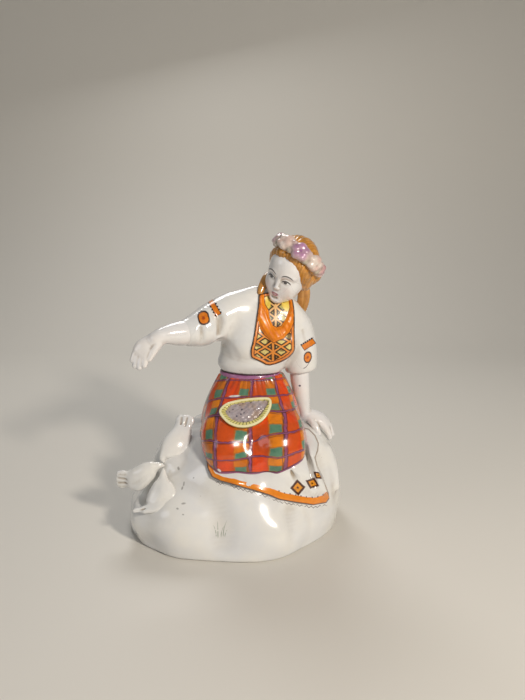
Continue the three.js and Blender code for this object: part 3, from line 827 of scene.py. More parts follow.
# The valley between the knees, and the cloth drawn into it.
skirtClay.cut(
    limb([(10, -32.0, 52, 0.5), (9.4, -37.0, 46, 1.7), (9.6, -39.6, 41, 1.5), (9.6, -40.6, 36, 0.4)]), 4.0
)
skirtClay.cut(limb([(10, -34.6, 46.8, 0.5), (15, -36.8, 43.8, 1.0), (20, -37.6, 41.8, 0.5)]), 1.6)
skirtClay.cut(limb([(9, -35.2, 46.4, 0.4), (4.6, -36.9, 44.6, 0.9), (0, -36.8, 43.6, 0.4)]), 1.6)
skirtClay.cut(limb([(10, -36.0, 43.4, 0.4), (14, -37.6, 40.2, 0.9), (18, -38.0, 38.4, 0.3)]), 1.4)


def skirtEdge(x, y):
    # The height of the hem: it rises behind and at both sides, in shallow waves.
    middle = 36.8 + 0.27 * np.maximum(0, y + 30) + 0.3 * np.sin(x / 4.5 + y / 7)
    return middle + 0.55 * np.maximum(0, -x - 5.5) + 0.36 * np.clip(x - 20, 0, 13)


def skirtFolds(x, y, z):
    angle = np.arctan2(y - skirt["middle"][1], x - skirt["middle"][0])
    low = smoothStep(70, 44, z)
    gathers = 0.14 * np.sin(26 * angle) * smoothStep(62, 74, z)
    rear = smoothStep(-0.4, 0.5, np.sin(angle))
    return gathers + low * rear * 0.9 * np.sin(
        11 * angle + 0.5
    ) + low * 0.2 * np.sin(15 * angle + 1) * (1 - rear)


skirtClay.press(skirtFolds)
gridX, gridY, gridZ = skirtClay.everywhere()
skirtClay.keep(np.maximum(skirtEdge(gridX, gridY) - gridZ, gridZ - (skirt["waistZ"] + 0.6)), 1.0)

# The plaid is woven round the body: threads are counted along the cloth from the middle of the front.
weave = {
    "lowest": 30.0, "highest": 79.0, "step": 1.5, "sides": 144, "pitch": [15.2, 15.4, 11.4],
    "pitchAt": [38, 60, 74],
}
levels = np.arange(weave["lowest"], weave["highest"], weave["step"])
angles = np.linspace(-math.pi, math.pi, weave["sides"] + 1)
radii = np.linspace(2, 50, 97)
threads = np.zeros((len(levels), len(angles)))
for row, level in enumerate(levels):
    a, r = np.meshgrid(angles, radii, indexing="ij")
    middleX, middleY = skirt["middle"]
    ray = np.stack([middleX + r * np.sin(a), middleY - r * np.cos(a), np.full_like(a, level)], 2)
    solid = skirtClay.at(ray.reshape(-1, 3)).reshape(a.shape) < 0.3
    reach = np.where(solid.any(1), radii[len(radii) - 1 - solid[:, ::-1].argmax(1)], 20.0)
    reach = np.convolve(np.concatenate([reach[-7:-1], reach, reach[1:7]]), np.ones(13) / 13, "valid")
    sideways = 0.5 * (reach[1:] + reach[:-1]) * np.diff(angles)
    length = np.concatenate([[0], np.cumsum(np.hypot(np.diff(reach), sideways))])
    length = length - length[len(length) // 2]
    count = length / np.interp(level, weave["pitchAt"], weave["pitch"])
    # Five columns each side: the last ones are eased so that they meet behind.
    last = np.maximum(np.abs(count).max(), 3.0)
    eased = np.where(np.abs(count) > 1.5, 1.5 + (np.abs(count) - 1.5) * 3.5 / (last - 1.5), np.abs(count))
    threads[row] = np.sign(count) * eased


rowHeights = np.array([38.0, 46.0, 52.0, 61.0, 70.0])
rowSags = [
    (0, 0, 0, 0, 0, 0), (4.0, 4.0, 1.6, 1.4, 2.0, -0.4), (3.8, 3.7, 5.2, 2.4, 0.3, 0.0),
    (2.3, 1.5, 0.5, 0.0, 0.3, 0.6), (0, 0, 0, 0, 0, 0),
]


def skirtPattern(points):
    x, y, z = points.T
    angle = np.arctan2(x - skirt["middle"][0] - 0.8 * smoothStep(66, 74, z), -(y - skirt["middle"][1]))
    row = np.clip((z - weave["lowest"]) / weave["step"], 0, len(levels) - 1.001)
    column = np.clip((angle + math.pi) / (2 * math.pi) * weave["sides"], 0, weave["sides"] - 0.001)
    r0, c0 = row.astype(int), column.astype(int)
    fr, fc = row - r0, column - c0
    across = (
        threads[r0, c0] * (1 - fr) * (1 - fc)
        + threads[r0 + 1, c0] * fr * (1 - fc)
        + threads[r0, c0 + 1] * (1 - fr) * fc
        + threads[r0 + 1, c0 + 1] * fr * fc
    )
    front = np.interp(z, [38, 47, 54, 62, 66, 74], [-35.5, -35, -29, -21, -17.6, -12])
    sink = 0.2 - 0.08 * np.clip((x - 8.6) / 14, -1, 1)
    level = z + sink * np.clip(y - front, 0, 40)
    # Gathered cloth: the rows sag at the left and where the knees draw them in.
    places = [-15, 2, 9.5, 14, 20, 30]
    sags = [np.interp(x, places, sag) for sag in rowSags]
    share = np.clip((z[None] - rowHeights[:-1, None]) / np.diff(rowHeights)[:, None], 0, 1)
    level = level + sags[0] + sum(share[k] * (sags[k + 1] - sags[k]) for k in range(len(sags) - 1))
    down = np.interp(
        -level, [-76, -74, -67.5, -62.5, -55.3, -47, -38.2, -28], [-0.3, 0, 1, 2, 3, 4, 5, 6]
    )
    return {
        "pattern": np.stack([across, down, z], 1), "skirtEdge": z - skirtEdge(x, y),
        **seenAttribute(points),
    }


# On-glaze enamel, laid on with a flat brush and fired: glossy, thick at the edge of each stroke.
def paintPlaid(tree, colour, place):
    glaze = colour
    across, down, _ = splitVector(tree, attributeOf(tree, "pattern", "Vector"))
    u = calc(tree, "FRACT", calc(tree, "ADD", wobbled(tree, place, across, 0.05, 3.5), 8.0))
    v = calc(tree, "FRACT", calc(tree, "ADD", wobbled(tree, place, down, 0.06, 3.0), 8.0))
    red = brushed(tree, place, paintColours["redOrange"], "#b93208", 4.0)
    orange = brushed(tree, place, paintColours["orange"], "#b8620c", 3.0)
    green = brushed(tree, place, paintColours["green"], "#386a58", 2.5)
    colour = paintOver(tree, red, orange, stepMask(tree, u, 0.52, 0.03))
    thick = patches(tree, place, 13.0, 0.52, 0.14, 1.0)
    colour = paintOver(tree, colour, "#b4540a", thick, 0.5)
    square = both(tree, bandMask(tree, u, 0.56, 0.9, 0.02), bandMask(tree, v, 0.55, 0.93, 0.03))
    around = both(tree, bandMask(tree, u, 0.53, 0.93, 0.02), bandMask(tree, v, 0.51, 0.97, 0.03))
    colour = paintOver(tree, colour, "#6d4424", calc(tree, "SUBTRACT", around, square), 0.45)
    colour = paintOver(tree, colour, green, square)
    seam = bandMask(tree, u, 0.50, 0.53, 0.015)
    colour = paintOver(tree, colour, "#b8480f", seam, 0.5)
    # Mauve stripes with dark edges, one way and the other, worn thin in places.
    mauve = brushed(tree, place, paintColours["mauve"], "#6d3a5e", 2.0)
    worn = calc(tree, "ADD", calc(tree, "MULTIPLY", patches(tree, place, 4.0, 0.44, 0.12), 0.5), 0.5)
    # A second, thinner pen line wanders beside each stripe.
    for part, side in ((across, 0.085), (down, -0.09)):
        strayed = calc(
            tree, "FRACT", calc(tree, "ADD", wobbled(tree, place, part, 0.06, 6.0), 8.0 + side)
        )
        pen = insideMask(tree, calc(tree, "PINGPONG", strayed, 0.5), 0.012, 0.014)
        colour = paintOver(
            tree, colour, "#5c2c20", both(tree, pen, patches(tree, place, 7.0, 0.44, 0.1)), 0.8
        )
    for off, wide, edge in (
        (calc(tree, "PINGPONG", u, 0.5), 0.034, 0.028), (calc(tree, "PINGPONG", v, 0.5), 0.026, 0.03)
    ):
        colour = paintOver(
            tree, colour, "#4a2430",
            calc(tree, "MULTIPLY", insideMask(tree, off, wide + edge, 0.018), worn),
        )
        colour = paintOver(
            tree, colour, mauve, calc(tree, "MULTIPLY", insideMask(tree, off, wide, 0.016), worn)
        )
    # The mauve hem, and two places by the dish that the brush did not reach.
    hemLineMm = attributeOf(tree, "skirtEdge")
    colour = paintOver(tree, colour, "#4a2430", insideMask(tree, hemLineMm, 1.7, 0.2))
    colour = paintOver(tree, colour, mauve, insideMask(tree, hemLineMm, 1.25, 0.2))
    a, b, depth = seenParts(tree)
    for at, size, turn in (((-12.6, -20.9), (2.6, 0.45), 4), ((-19.6, -54.6), (1.0, 0.5), -40)):
        bare = insideMask(tree, spotDistance(tree, a, b, at, size, turn), 1.0, 0.2)
        colour = paintOver(tree, colour, glaze, both(tree, bare, insideMask(tree, depth, -8.0, 1.0)))
    # Painted shade: cloth in the hollow of a fold is darkened to a deeper tone.
    return paintOver(tree, colour, "#4a2a18", attributeOf(tree, "crevice"), 0.4), 1.0


plaidMaterial = fired("plaid_enamel", paintPlaid, roughness=0.12)
finishClay("skirt_plaid", skirtClay, plaidMaterial, ["skirt"], skirtPattern)

# The white underskirt spreads on the mound as a thin cloth.
underskirt = {"cell": 0.45, "cloth": 2.0}
underLow, underHigh = boxOf("underskirt")
underClay = Clay(underLow - vec(14, 6, 6), underHigh + vec(5, 8, 3), underskirt["cell"])
layOver(underClay, moundClay, underskirt["cloth"])
underClay.add(limb([(20, -26, 36, 8), (30, -20, 36, 8.5), (34, -12, 39, 7.5), (33, -4, 43, 6)]), 5)
underClay.add(
    limb([(33, -8, 46.5, 3), (37.4, -10, 43, 3.2), (38, -13, 38, 2.8), (36.5, -17, 34, 2.4)]), 2.5
)
underClay.add(
    limb(
        [
            (-10.6, -18, 44, 2.6), (-11.0, -23.5, 40.4, 2.6), (-10.4, -26.6, 37.2, 2.6),
            (-8.6, -30.2, 34.6, 2.6), (-4.6, -33.2, 33.2, 2.6), (2, -35, 32.3, 2.6),
        ],
    ),
    3,
)
underClay.add(limb([(28, -27, 36, 4), (35, -24, 31, 4), (41, -22, 25, 3)]), 4)
underClay.cut(
    limb([(33, -17.5, 45, 0.8), (34, -22.8, 38.5, 2.0), (36, -25.2, 33, 1.4), (38, -26, 28, 0.4)]), 2.6
)
underClay.cut(limb([(26, -31, 38, 0.4), (29, -32.5, 33, 1.1), (32, -32.5, 28, 0.4)]), 2.4)
gridX, gridY, gridZ = underClay.everywhere()
seenA, seenB = seenFrom(gridX, gridY, gridZ)
underClay.press(0.3 * np.sin(seenA / 2.7 + seenB / 6.0) * smoothStep(-12, 6, seenA))
underPlan = outlineDistance(seenA, seenB, underOutline)
underClay.keep(np.maximum(underPlan, (gridY - 1) * 0.8), 1.5)

diamondSpots = [
    ((16.0, -62.4), (3.5, 3.8), 4, 0.6), ((22.6, -60.4), (3.4, 2.7), -22, 0.58),
    ((25.2, -56.8), (2.7, 1.8), -38, 0.52),
]


# White glaze with a broad orange band, put on freely and outlined with a pen.
def paintUnderskirt(tree, colour, place):
    across, up, depth = seenParts(tree)
    hem = wobbled(tree, place, attributeOf(tree, "hem"), 0.25, 5.0)
    fold = wobbled(tree, place, attributeOf(tree, "fold"), 0.25, 4.0)
    front = both(tree, insideMask(tree, depth, -2.0, 1.0), facing(tree))
    # The orange band is broadest at the front and tapers to the left.
    wideness = addNode(
        tree, "ShaderNodeMapRange", {0: across, 1: -24.0, 2: 6.0, 3: 2.2, 4: 3.4}
    ).outputs[0]
    edge = calc(
        tree, "ADD",
        calc(tree, "MULTIPLY", calc(tree, "SUBTRACT", fieldNoise(tree, place, 6.0), 0.5), 1.6), wideness,
    )
    over = calc(tree, "SUBTRACT", hem, edge)
    band = brushed(tree, place, "#ee8c10", "#cf6a06", 4.0)
    skipped = both(
        tree, bandMask(tree, across, -7.5, -2.5, 1.0), stepMask(tree, hem, 1.4, 0.3),
        patches(tree, place, 2.0, 0.45, 0.05),
    )
    bandHere = both(tree, insideMask(tree, over, 0.0, 0.12), insideMask(tree, skipped, 0.5, 0.1), front)
    colour = paintOver(tree, colour, band, bandHere)
    along = calc(tree, "PINGPONG", wobbled(tree, place, across, 0.5, 2.0), 1.25)
    ticks = both(
        tree, insideMask(tree, along, 0.26, 0.1), bandMask(tree, over, -0.2, 0.45, 0.15),
        stepMask(tree, across, 6.0, 1.0), front,
    )
    colour = paintOver(tree, colour, paintColours["outline"], ticks, 0.85)
    colour = paintOver(tree, colour, "#4c2410", both(tree, insideMask(tree, hem, 0.5, 0.15), front))
    # A gold-brown line follows the folded edge on the other side.
    line = both(tree, insideMask(tree, fold, 0.55, 0.2), stepMask(tree, up, -66.0, 1.0), front)
    colour = paintOver(tree, colour, "#7d5420", line, 0.85)
    wa, wu = wobbledPair(tree, place, across, up, 0.22, 1.2)
    for at, size, turn, inner in diamondSpots:
        d = spotDistance(tree, wa, wu, at, size, turn, 1.0)
        colour = paintOver(tree, colour, "#4a2410", both(tree, insideMask(tree, d, 1.0, 0.08), front))
        colour = paintOver(
            tree, colour, brushed(tree, place, "#e8981a", "#b86a10", 1.0),
            both(tree, insideMask(tree, d, inner, 0.06), front),
        )
        colour = paintOver(tree, colour, "#5a2c10", both(tree, insideMask(tree, d, 0.16, 0.06), front))
    return colour, bandHere


underMaterial = fired("underskirt_glaze", paintUnderskirt)
finishClay("underskirt_hem", underClay, underMaterial, ["underskirt"], hemAttributes)

# The blouse: bodice and both sleeves in one skin.
blouse = {"cell": 0.45}
blouseLow, blouseHigh = boxOf("torso", "sleeve_right", "sleeve_left")
blouseClay = Clay(blouseLow - 3, blouseHigh + 3, blouse["cell"])
blouseClay.add(
    limb(
        [
            (8, -2, 75, 13.6, 9.8),
            (8.4, -2.2, 79, 14.4, 10.4),
            (10.6, -2.6, 87, 16.4, 11.6),
            (13.4, -2.4, 95, 17, 11.2),
            (17, -1.8, 102, 15, 9.6),
            (20.6, -1.4, 107, 8.6, 6.6),
            (22, -1.6, 110, 5.6, 5.0),
        ],
        across=(1, 0, -0.2),
        count=36,
    ),
    2,
)
blouseClay.add(blob((6.5, -9.2, 92.5), (8.2, 6.6, 7.6)), 4)
blouseClay.add(blob((21.5, -9, 91), (7.6, 6.4, 7.6)), 4)
blouseClay.add(blob((8, -2, 80.5), (15.0, 11, 5)), 3)
blouseClay.add(
    limb(
        [
            (10, -1, 102, 9.6, 9.2), (0, -4, 103.4, 9.6, 9.6), (-7, -8, 101.2, 9.4, 9.4),
            (-12.6, -12.2, 98.4, 8.6, 8.4), (-17.6, -15.6, 97.2, 6.8, 6.6),
            (-22.4, -18.6, 97.1, 5.0, 5.0),
        ],
        across=(0, 1, 0), count=24,
    ),
    4,
)
blouseClay.add(
    limb(
        [
            (27, -1, 102.8, 5.6, 6.6), (30.6, -0.6, 97, 6.8, 7.4), (32.4, 0.4, 88, 7.3, 7.6),
            (32.4, 1.4, 80, 7.9, 7.6), (32.0, 2, 75.6, 7.2, 7.0),
        ],
        count=22, across=(1, 0, 0),
    ),
    3.2,
)
blouseClay.add(
    limb([(2, -4.5, 107.2, 5.6), (8, -3.6, 110.6, 5.4), (13, -2.9, 112.6, 4.6), (19, -2.4, 113.6, 3.6)]),
    4,
)
# Folds that run from the armpit over the breast and round the sleeves.
for stations, depth in (
    ([(-7, -13.2, 93, 1.0), (-2, -15.0, 89.5, 1.5), (2, -15.6, 84, 0.7)], 3.0),
    ([(-8.4, -10, 90, 0.7), (-5, -12.6, 85, 1.2), (-3, -12.8, 80, 0.6)], 2.4),
    ([(-8.0, -15.5, 108, 0.4), (-5.2, -16.4, 103, 1.2), (-5.4, -16.4, 96.6, 0.8)], 2.8),
    ([(-13.0, -20.8, 91.6, 0.6), (-12.6, -21.6, 95.4, 0.9), (-12.8, -21.4, 99.6, 0.4)], 2.4),
    ([(26.6, -9.0, 97.4, 0.8), (26.4, -9.6, 91, 1.3), (25.6, -9.2, 83.6, 0.9)], 2.2),
    ([(33, -8.4, 96, 0.3), (34.2, -8.0, 90, 0.8), (34.4, -7.2, 84, 0.3)], 2.2),
    ([(25.5, -7.4, 77.6, 0.5), (30, -7.6, 77.4, 0.5), (35, -6.6, 79.0, 0.3)], 1.0),
):
    blouseClay.cut(limb(stations), depth)


def blouseFolds(x, y, z):
    behind = 0.7 * np.sin(x / 3.6 + z / 9.0) * smoothStep(0, 6, y) * smoothStep(106, 96, z)
    soft = 0.25 * np.sin(x / 4.2 + z / 5.5) * np.sin(z / 6.0 - y / 5.0)
    return behind + soft


blouseClay.press(blouseFolds)
gridX, gridY, gridZ = blouseClay.everywhere()
# The sleeve mouths and the bodice end in an edge, with the arms and the belt showing below.
leftMouth = np.where(gridX > 24.5, 75.2 - gridZ + 0.12 * (gridX - 33), -farAway)
bodiceEnd = np.where(gridX > 24.5, -farAway, 76.4 - 0.04 * (gridX - 8) - gridZ)
mouthLie = unit((-0.82, -0.56, -0.1))
rightMouth = (gridX + 21.6) * mouthLie[0] + (gridY + 18) * mouthLie[1] + (gridZ - 97) * mouthLie[2]
blouseClay.keep(np.maximum(np.maximum(leftMouth, bodiceEnd), rightMouth), 1.0)
blouseClay.cut(limb([(32.0, 2, 70, 5.4), (32.0, 2, 76.0, 5.2)]), 0.8)

sleeveSpots = [
    {"at": (-26.7, 14.6), "size": (2.7, 3.3), "turn": 14, "inner": 0.76, "square": 2.6},
    {"at": (20.5, -3.3), "size": (1.9, 2.7), "turn": -12, "inner": 0.76, "square": 2.0},
]
sleeveBars = [
    {"start": (-23.9, 22.9), "end": (-19.9, 16.0), "half": 1.05, "dots": 1.5, "sides": (-1, 1)},
    {"start": (18.4, 1.0), "end": (23.3, 4.1), "half": 1.2, "dots": 1.1, "sides": (1,)},
]


def barMask(tree, a, b, bar, grow=0.0):
    # A straight bar between two points, with its coordinates along and across it.
    lie = vec(bar["end"][0] - bar["start"][0], bar["end"][1] - bar["start"][1])
    length = float(np.hypot(*lie))
    c, s = (float(v) for v in lie / length)
    da, db = calc(tree, "SUBTRACT", a, bar["start"][0]), calc(tree, "SUBTRACT", b, bar["start"][1])
    along = calc(tree, "ADD", calc(tree, "MULTIPLY", da, c), calc(tree, "MULTIPLY", db, s))
    off = calc(tree, "ADD", calc(tree, "MULTIPLY", da, -s), calc(tree, "MULTIPLY", db, c))
    inside = both(
        tree, bandMask(tree, along, -grow, length + grow, 0.12),
        bandMask(tree, off, -bar["half"] - grow, bar["half"] + grow, 0.12),
    )
    return inside, along, off, length


# White glaze with a flower and a bar of embroidery on each sleeve, which is flat enamel.
def paintBlouse(tree, colour, place):
    across, up, _ = seenParts(tree)
    wa, wu = wobbledPair(tree, place, across, up, 0.25, 1.4)
    front = facing(tree)
    orange = brushed(tree, place, "#ea8412", "#b9580a", 1.4)
    enamel = 0.0
    for spot in sleeveSpots:
        d = spotDistance(tree, wa, wu, spot["at"], spot["size"], spot["turn"], spot["square"])
        whole = both(tree, insideMask(tree, d, 1.0, 0.07), front)
        colour = paintOver(tree, colour, "#3a1e10", whole)
        colour = paintOver(
            tree, colour, orange, both(tree, insideMask(tree, d, spot["inner"], 0.07), front)
        )
        colour = paintOver(tree, colour, "#a8480c", both(tree, insideMask(tree, d, 0.24, 0.1), front))
        enamel = either(tree, enamel, whole)
    for bar in sleeveBars:
        edged, along, off, length = barMask(tree, wa, wu, bar, 0.28)
        inside = barMask(tree, wa, wu, bar)[0]
        colour = paintOver(tree, colour, "#4a2412", both(tree, edged, front))
        colour = paintOver(tree, colour, orange, both(tree, inside, front))
        # A row of dots beside the bar.
        beat = calc(tree, "PINGPONG", wobbled(tree, place, along, 0.2, 1.0), bar["dots"] * 0.5)
        for side in bar["sides"]:
            gap = calc(tree, "SUBTRACT", calc(tree, "MULTIPLY", off, float(side)), bar["half"] + 0.35)
            far = calc(
                tree, "SQRT",
                calc(tree, "ADD", calc(tree, "MULTIPLY", beat, beat), calc(tree, "MULTIPLY", gap, gap)),
            )
            dots = both(
                tree, insideMask(tree, far, 0.42, 0.1), bandMask(tree, along, -0.6, length + 0.6, 0.1),
                front,
            )
            colour = paintOver(tree, colour, paintColours["dark"], dots)
        enamel = either(tree, enamel, both(tree, edged, front))
    # The tail of the last brush stroke under the flower on the left sleeve.
    tail = arcMask(tree, across, up, (18.6, -8.3), (0, -7.4), (21.4, -5.2), 0.16, 0.1)
    return paintOver(tree, colour, "#2c1a14", both(tree, tail, front)), enamel


blouseMaterial = fired("blouse_glaze", paintBlouse)
finishClay(
    "blouse", blouseClay, blouseMaterial, ["torso", "sleeve_right", "sleeve_left"],
    seenAttribute,
)

# The belt is a flat roll of clay round the waist.
belt = {"middle": (8.0, -2.1, 75.0), "half": (13.5, 10.0), "thick": 1.25, "dip": 0.4, "cell": 0.35}
beltStations = []
for k in range(33):
    angle = 2 * math.pi * k / 32
    middleX, middleY, middleZ = belt["middle"]
    beltX = middleX + belt["half"][0] * math.cos(angle)
    beltY = middleY + belt["half"][1] * math.sin(angle)
    beltZ = middleZ - belt["dip"] * math.cos(angle)
    beltStations.append((beltX, beltY, beltZ, belt["thick"] * 1.15, belt["thick"] * 0.8))
beltLow, beltHigh = boxOf("waistband")
beltClay = Clay(beltLow - 3, beltHigh + 3, belt["cell"])
beltClay.add(limb(beltStations, across=(0, 0, 1), count=96), 0.5)


# Violet enamel, with the dark line of the brush where the blouse begins.
def paintBelt(tree, colour, place):
    x, _, z = splitVector(tree, place)
    violet = brushed(tree, place, "#ab6f9b", "#7d4776", 2.0)
    tilted = calc(tree, "ADD", wobbled(tree, place, z, 0.2, 3.0), calc(tree, "MULTIPLY", x, 0.03))
    return paintOver(tree, violet, "#4a1f38", stepMask(tree, tilted, 76.2, 0.2)), 1.0


beltMaterial = fired("belt_enamel", paintBelt)
finishClay("belt", beltClay, beltMaterial, ["waistband"])

# The breast panel, with the orange scarf modelled on it.
panelOutline = [
    (-1.7, 26.5), (-1.9, 20.9), (-2.8, 14.5), (-3.7, 7.8), (-4.5, 3.4), (-5.4, 0.5), (-5.4, -2.3),
    (-4.9, -3.8), (-0.8, -5.4), (2.4, -7.3), (7.3, -6.1), (11.9, -3.8), (14.6, -0.9), (14.8, 2.0),
    (14.6, 7.8), (14.7, 16.5), (14.2, 20.9), (13.0, 25.0),
]
panelOutline = rounded(panelOutline)
scarfOutline = [
    (-1.9, 27), (-1.9, 20.9), (-2.4, 14.5), (-1.8, 12.7), (-0.9, 9.7), (1.1, 6.8), (5.0, 3.4), (9.6, 5.4),
    (12.5, 8.6), (14.3, 13.1), (14.7, 16.5), (14.2, 20.9), (13.2, 26), (12.2, 23), (12.4, 19.0),
    (11.6, 16.4), (10.4, 13.6), (8.7, 11), (6.4, 10.1), (4.7, 11), (3.3, 14.4), (2.7, 17.9), (1.0, 20.9),
    (0.5, 26),
]
panel = {"cell": 0.28, "thick": 0.75}
panelLow, panelHigh = boxOf("breast_panel", "necklace")
panelClay = Clay(panelLow - vec(3, 4, 3), vec(panelHigh[0] + 3, -2, panelHigh[2] + 2), panel["cell"])
layOver(panelClay, blouseClay, panel["thick"])
gridX, gridY, gridZ = panelClay.everywhere()
seenA, seenB = seenFrom(gridX, gridY, gridZ)
panelPlan = outlineDistance(seenA, seenB, panelOutline)
scarfPlan = outlineDistance(seenA, seenB, scarfOutline)
panelClay.press(0.35 * bump(panelPlan, -0.9, 0.7) + 1.0 * smoothStep(0.1, -1.5, scarfPlan))
panelClay.press(-0.16 * np.abs(np.sin((seenA + 0.55 * seenB) * 1.25)) * smoothStep(-0.4, -1.6, scarfPlan))
panelClay.keep(np.maximum(panelPlan, gridY + 3.0), 0.5)


def panelExtra(points):
    across, up = seenFrom(*points.T)
    return {
        **seenAttribute(points),
        "panelEdge": outlineDistance(across, up, panelOutline),
        "scarf": outlineDistance(across, up, scarfOutline),
    }


def lattice(tree, a, b, node, pitch, cells, cordColour, cord=0.09, border=0.15):
    # Slanting cords with dark borders, and one upright cord through each node.
    da = calc(tree, "DIVIDE", calc(tree, "SUBTRACT", a, node[0]), pitch[0])
    db = calc(tree, "DIVIDE", calc(tree, "SUBTRACT", b, node[1]), pitch[1])
    offP = calc(tree, "PINGPONG", calc(tree, "ADD", calc(tree, "ADD", da, db), 8.0), 0.5)
    offQ = calc(tree, "PINGPONG", calc(tree, "ADD", calc(tree, "SUBTRACT", da, db), 8.0), 0.5)
    upright = calc(tree, "MULTIPLY", calc(tree, "ABSOLUTE", da), 1.35)
    nearest = calc(tree, "MINIMUM", calc(tree, "MINIMUM", offP, offQ), upright)
    cells = paintOver(tree, cells, "#382110", insideMask(tree, nearest, cord + border, 0.03))
    return paintOver(tree, cells, cordColour, insideMask(tree, nearest, cord, 0.025))


# On-glaze enamel again, in fine pen and brush lines that leave the glaze less smooth.
def paintPanel(tree, colour, place):
    across, up, _ = seenParts(tree)
    glaze = colour
    wa, wu = wobbledPair(tree, place, across, up, 0.3, 2.4)
    edge = wobbled(tree, place, attributeOf(tree, "panelEdge"), 0.25, 1.6)
    scarf = wobbled(tree, place, attributeOf(tree, "scarf"), 0.25, 2.0)
    orange = brushed(tree, place, "#f08a06", "#d06404", 2.5)
    gold = brushed(tree, place, "#e6d384", "#a58a34", 1.2)
    dim = patches(tree, place, 3.2, 0.57, 0.05, 0.0)
    gold = paintOver(tree, gold, "#6a4a1e", dim, 0.85)
    lower = lattice(tree, wa, wu, (4.8, -0.9), (7.4, 4.7), gold, "#ea9438")
    olive = brushed(tree, place, "#b9ad4c", "#5f6230", 1.3)
    upper = lattice(tree, wa, wu, (5.9, 14.4), (6.6, 5.2), olive, "#e8b878")
    colour = paintOver(tree, lower, upper, stepMask(tree, up, 8.4, 0.3))
    # Yellow on both sides of the throat.
    throat = either(
        tree,
        insideMask(tree, spotDistance(tree, wa, wu, (1.4, 22.0), (1.9, 3.4), 28), 1.0, 0.12),
        insideMask(tree, spotDistance(tree, wa, wu, (11.2, 20.4), (2.2, 3.2), 24), 1.0, 0.12),
    )
    colour = paintOver(tree, colour, brushed(tree, place, "#e8d05a", "#c89a2c", 1.6), throat)
    # A frame of orange cord inside a frayed dark border.
    colour = paintOver(tree, colour, "#6a3212", stepMask(tree, edge, -1.75, 0.1))
    colour = paintOver(tree, colour, "#e58a3a", stepMask(tree, edge, -1.4, 0.1))
    colour = paintOver(tree, colour, "#5e2a10", insideMask(tree, scarf, 0.28, 0.1))
    colour = paintOver(tree, colour, orange, insideMask(tree, scarf, 0.0, 0.12))
    # Painted shade: darker orange on one flank of each shallow pleat pressed into the scarf.
    streak = calc(
        tree, "SINE",
        calc(tree, "MULTIPLY", calc(tree, "ADD", across, calc(tree, "MULTIPLY", up, 0.55)), 2.5),
    )
    colour = paintOver(
        tree, colour, "#c25206",
        both(tree, stepMask(tree, streak, 0.6, 0.3), insideMask(tree, scarf, -0.6, 0.3)), 0.35,
    )
    fray = stepMask(tree, wobbled(tree, place, edge, 0.3, 0.7), -0.5, 0.12)
    colour = paintOver(tree, colour, "#32180f", fray)
    return paintOver(tree, glaze, colour, facing(tree)), 1.0


panelMaterial = fired("panel_enamel", paintPanel, roughness=0.26, coat=0.12)
finishClay(
    "breast_panel_lattice", panelClay, panelMaterial, ["breast_panel", "necklace"],
    panelExtra, relax=2,
)

# The head is modelled upright round its own middle, then leaned and turned.
head = {"at": (26.5, -7.2, 123.9), "size": 1.17, "lean": 24, "turn": -25, "nod": 26, "cell": 0.22}
headTurns = turnMatrix(head["nod"], head["lean"], head["turn"])
headAxes = headTurns[1] @ headTurns[2] @ headTurns[0]


def fromHead(points):
    return points * head["size"] @ headAxes.T + vec(*head["at"])


headClay = Clay((-9.5, -12.8, -16), (9.5, 12.5, 12.8), head["cell"])
headClay.add(blob((0, 1.6, 2.6), (8.1, 9.3, 9.2)), 2)
headClay.add(blob((0, -1.8, -4.0), (6.8, 6.9, 7.3)), 3.2)
headClay.add(blob((0, -4.6, 3.0), (6.2, 4.6, 6)), 3)
for side in (-1, 1):
    headClay.add(blob((side * 3.7, -5.6, -4.2), (2.7, 2.4, 3.0)), 2.4)
headClay.add(blob((0, -3.9, -7.4), (4.9, 4.6, 4.3)), 2.5)
headClay.add(blob((0, -7.2, -10.0), (2.1, 1.7, 1.6)), 2.2)
for side in (-1, 1):
    headClay.cut(blob((side * 3.0, -9.8, -0.9), (1.9, 1.25, 1.1), (0, 0, side * 14)), 1.3)
    headClay.add(blob((side * 3.0, -7.4, -1.1), (1.6, 1.1, 1.0), (0, 0, side * 10)), 0.5)
    headClay.add(
        limb(
            [
                (side * 1.5, -8.35, -0.9, 0.16), (side * 3.0, -8.5, -0.2, 0.26),
                (side * 4.7, -7.4, -0.9, 0.16),
            ],
        ),
        0.5,
    )
    headClay.add(
        limb(
            [(side * 1.2, -8.4, 1.2, 0.25), (side * 3.1, -8.2, 1.8, 0.35), (side * 5.4, -6.9, 0.9, 0.25)]
        ),
        1.3,
    )
headClay.add(
    limb([(0, -8.1, 1.4, 0.4), (0, -8.7, -1.2, 0.45), (0, -9.35, -3.7, 0.56), (0, -9.3, -4.2, 0.62)]), 1.0
)
for side in (-1, 1):
    headClay.add(blob((side * 0.75, -8.8, -4.35), (0.45, 0.6, 0.4)), 0.6)
headClay.add(
    limb(
        [
            (-1.4, -8.1, -7.0, 0.25), (-0.4, -8.6, -6.75, 0.4), (0.4, -8.6, -6.75, 0.4),
            (1.4, -8.1, -7.0, 0.25),
        ],
    ),
    0.6,
)
headClay.add(limb([(-1.1, -8.0, -7.5, 0.28), (0, -8.45, -7.7, 0.45), (1.1, -8.0, -7.5, 0.28)]), 0.6)
headClay.cut(limb([(-1.5, -8.4, -7.15, 0.08), (0, -9.1, -7.25, 0.12), (1.5, -8.4, -7.15, 0.08)]), 0.3)
headClay.cut(limb([(-0.8, -8.6, -8.8, 0.25), (0, -8.8, -8.9, 0.35), (0.8, -8.6, -8.8, 0.25)]), 1.2)


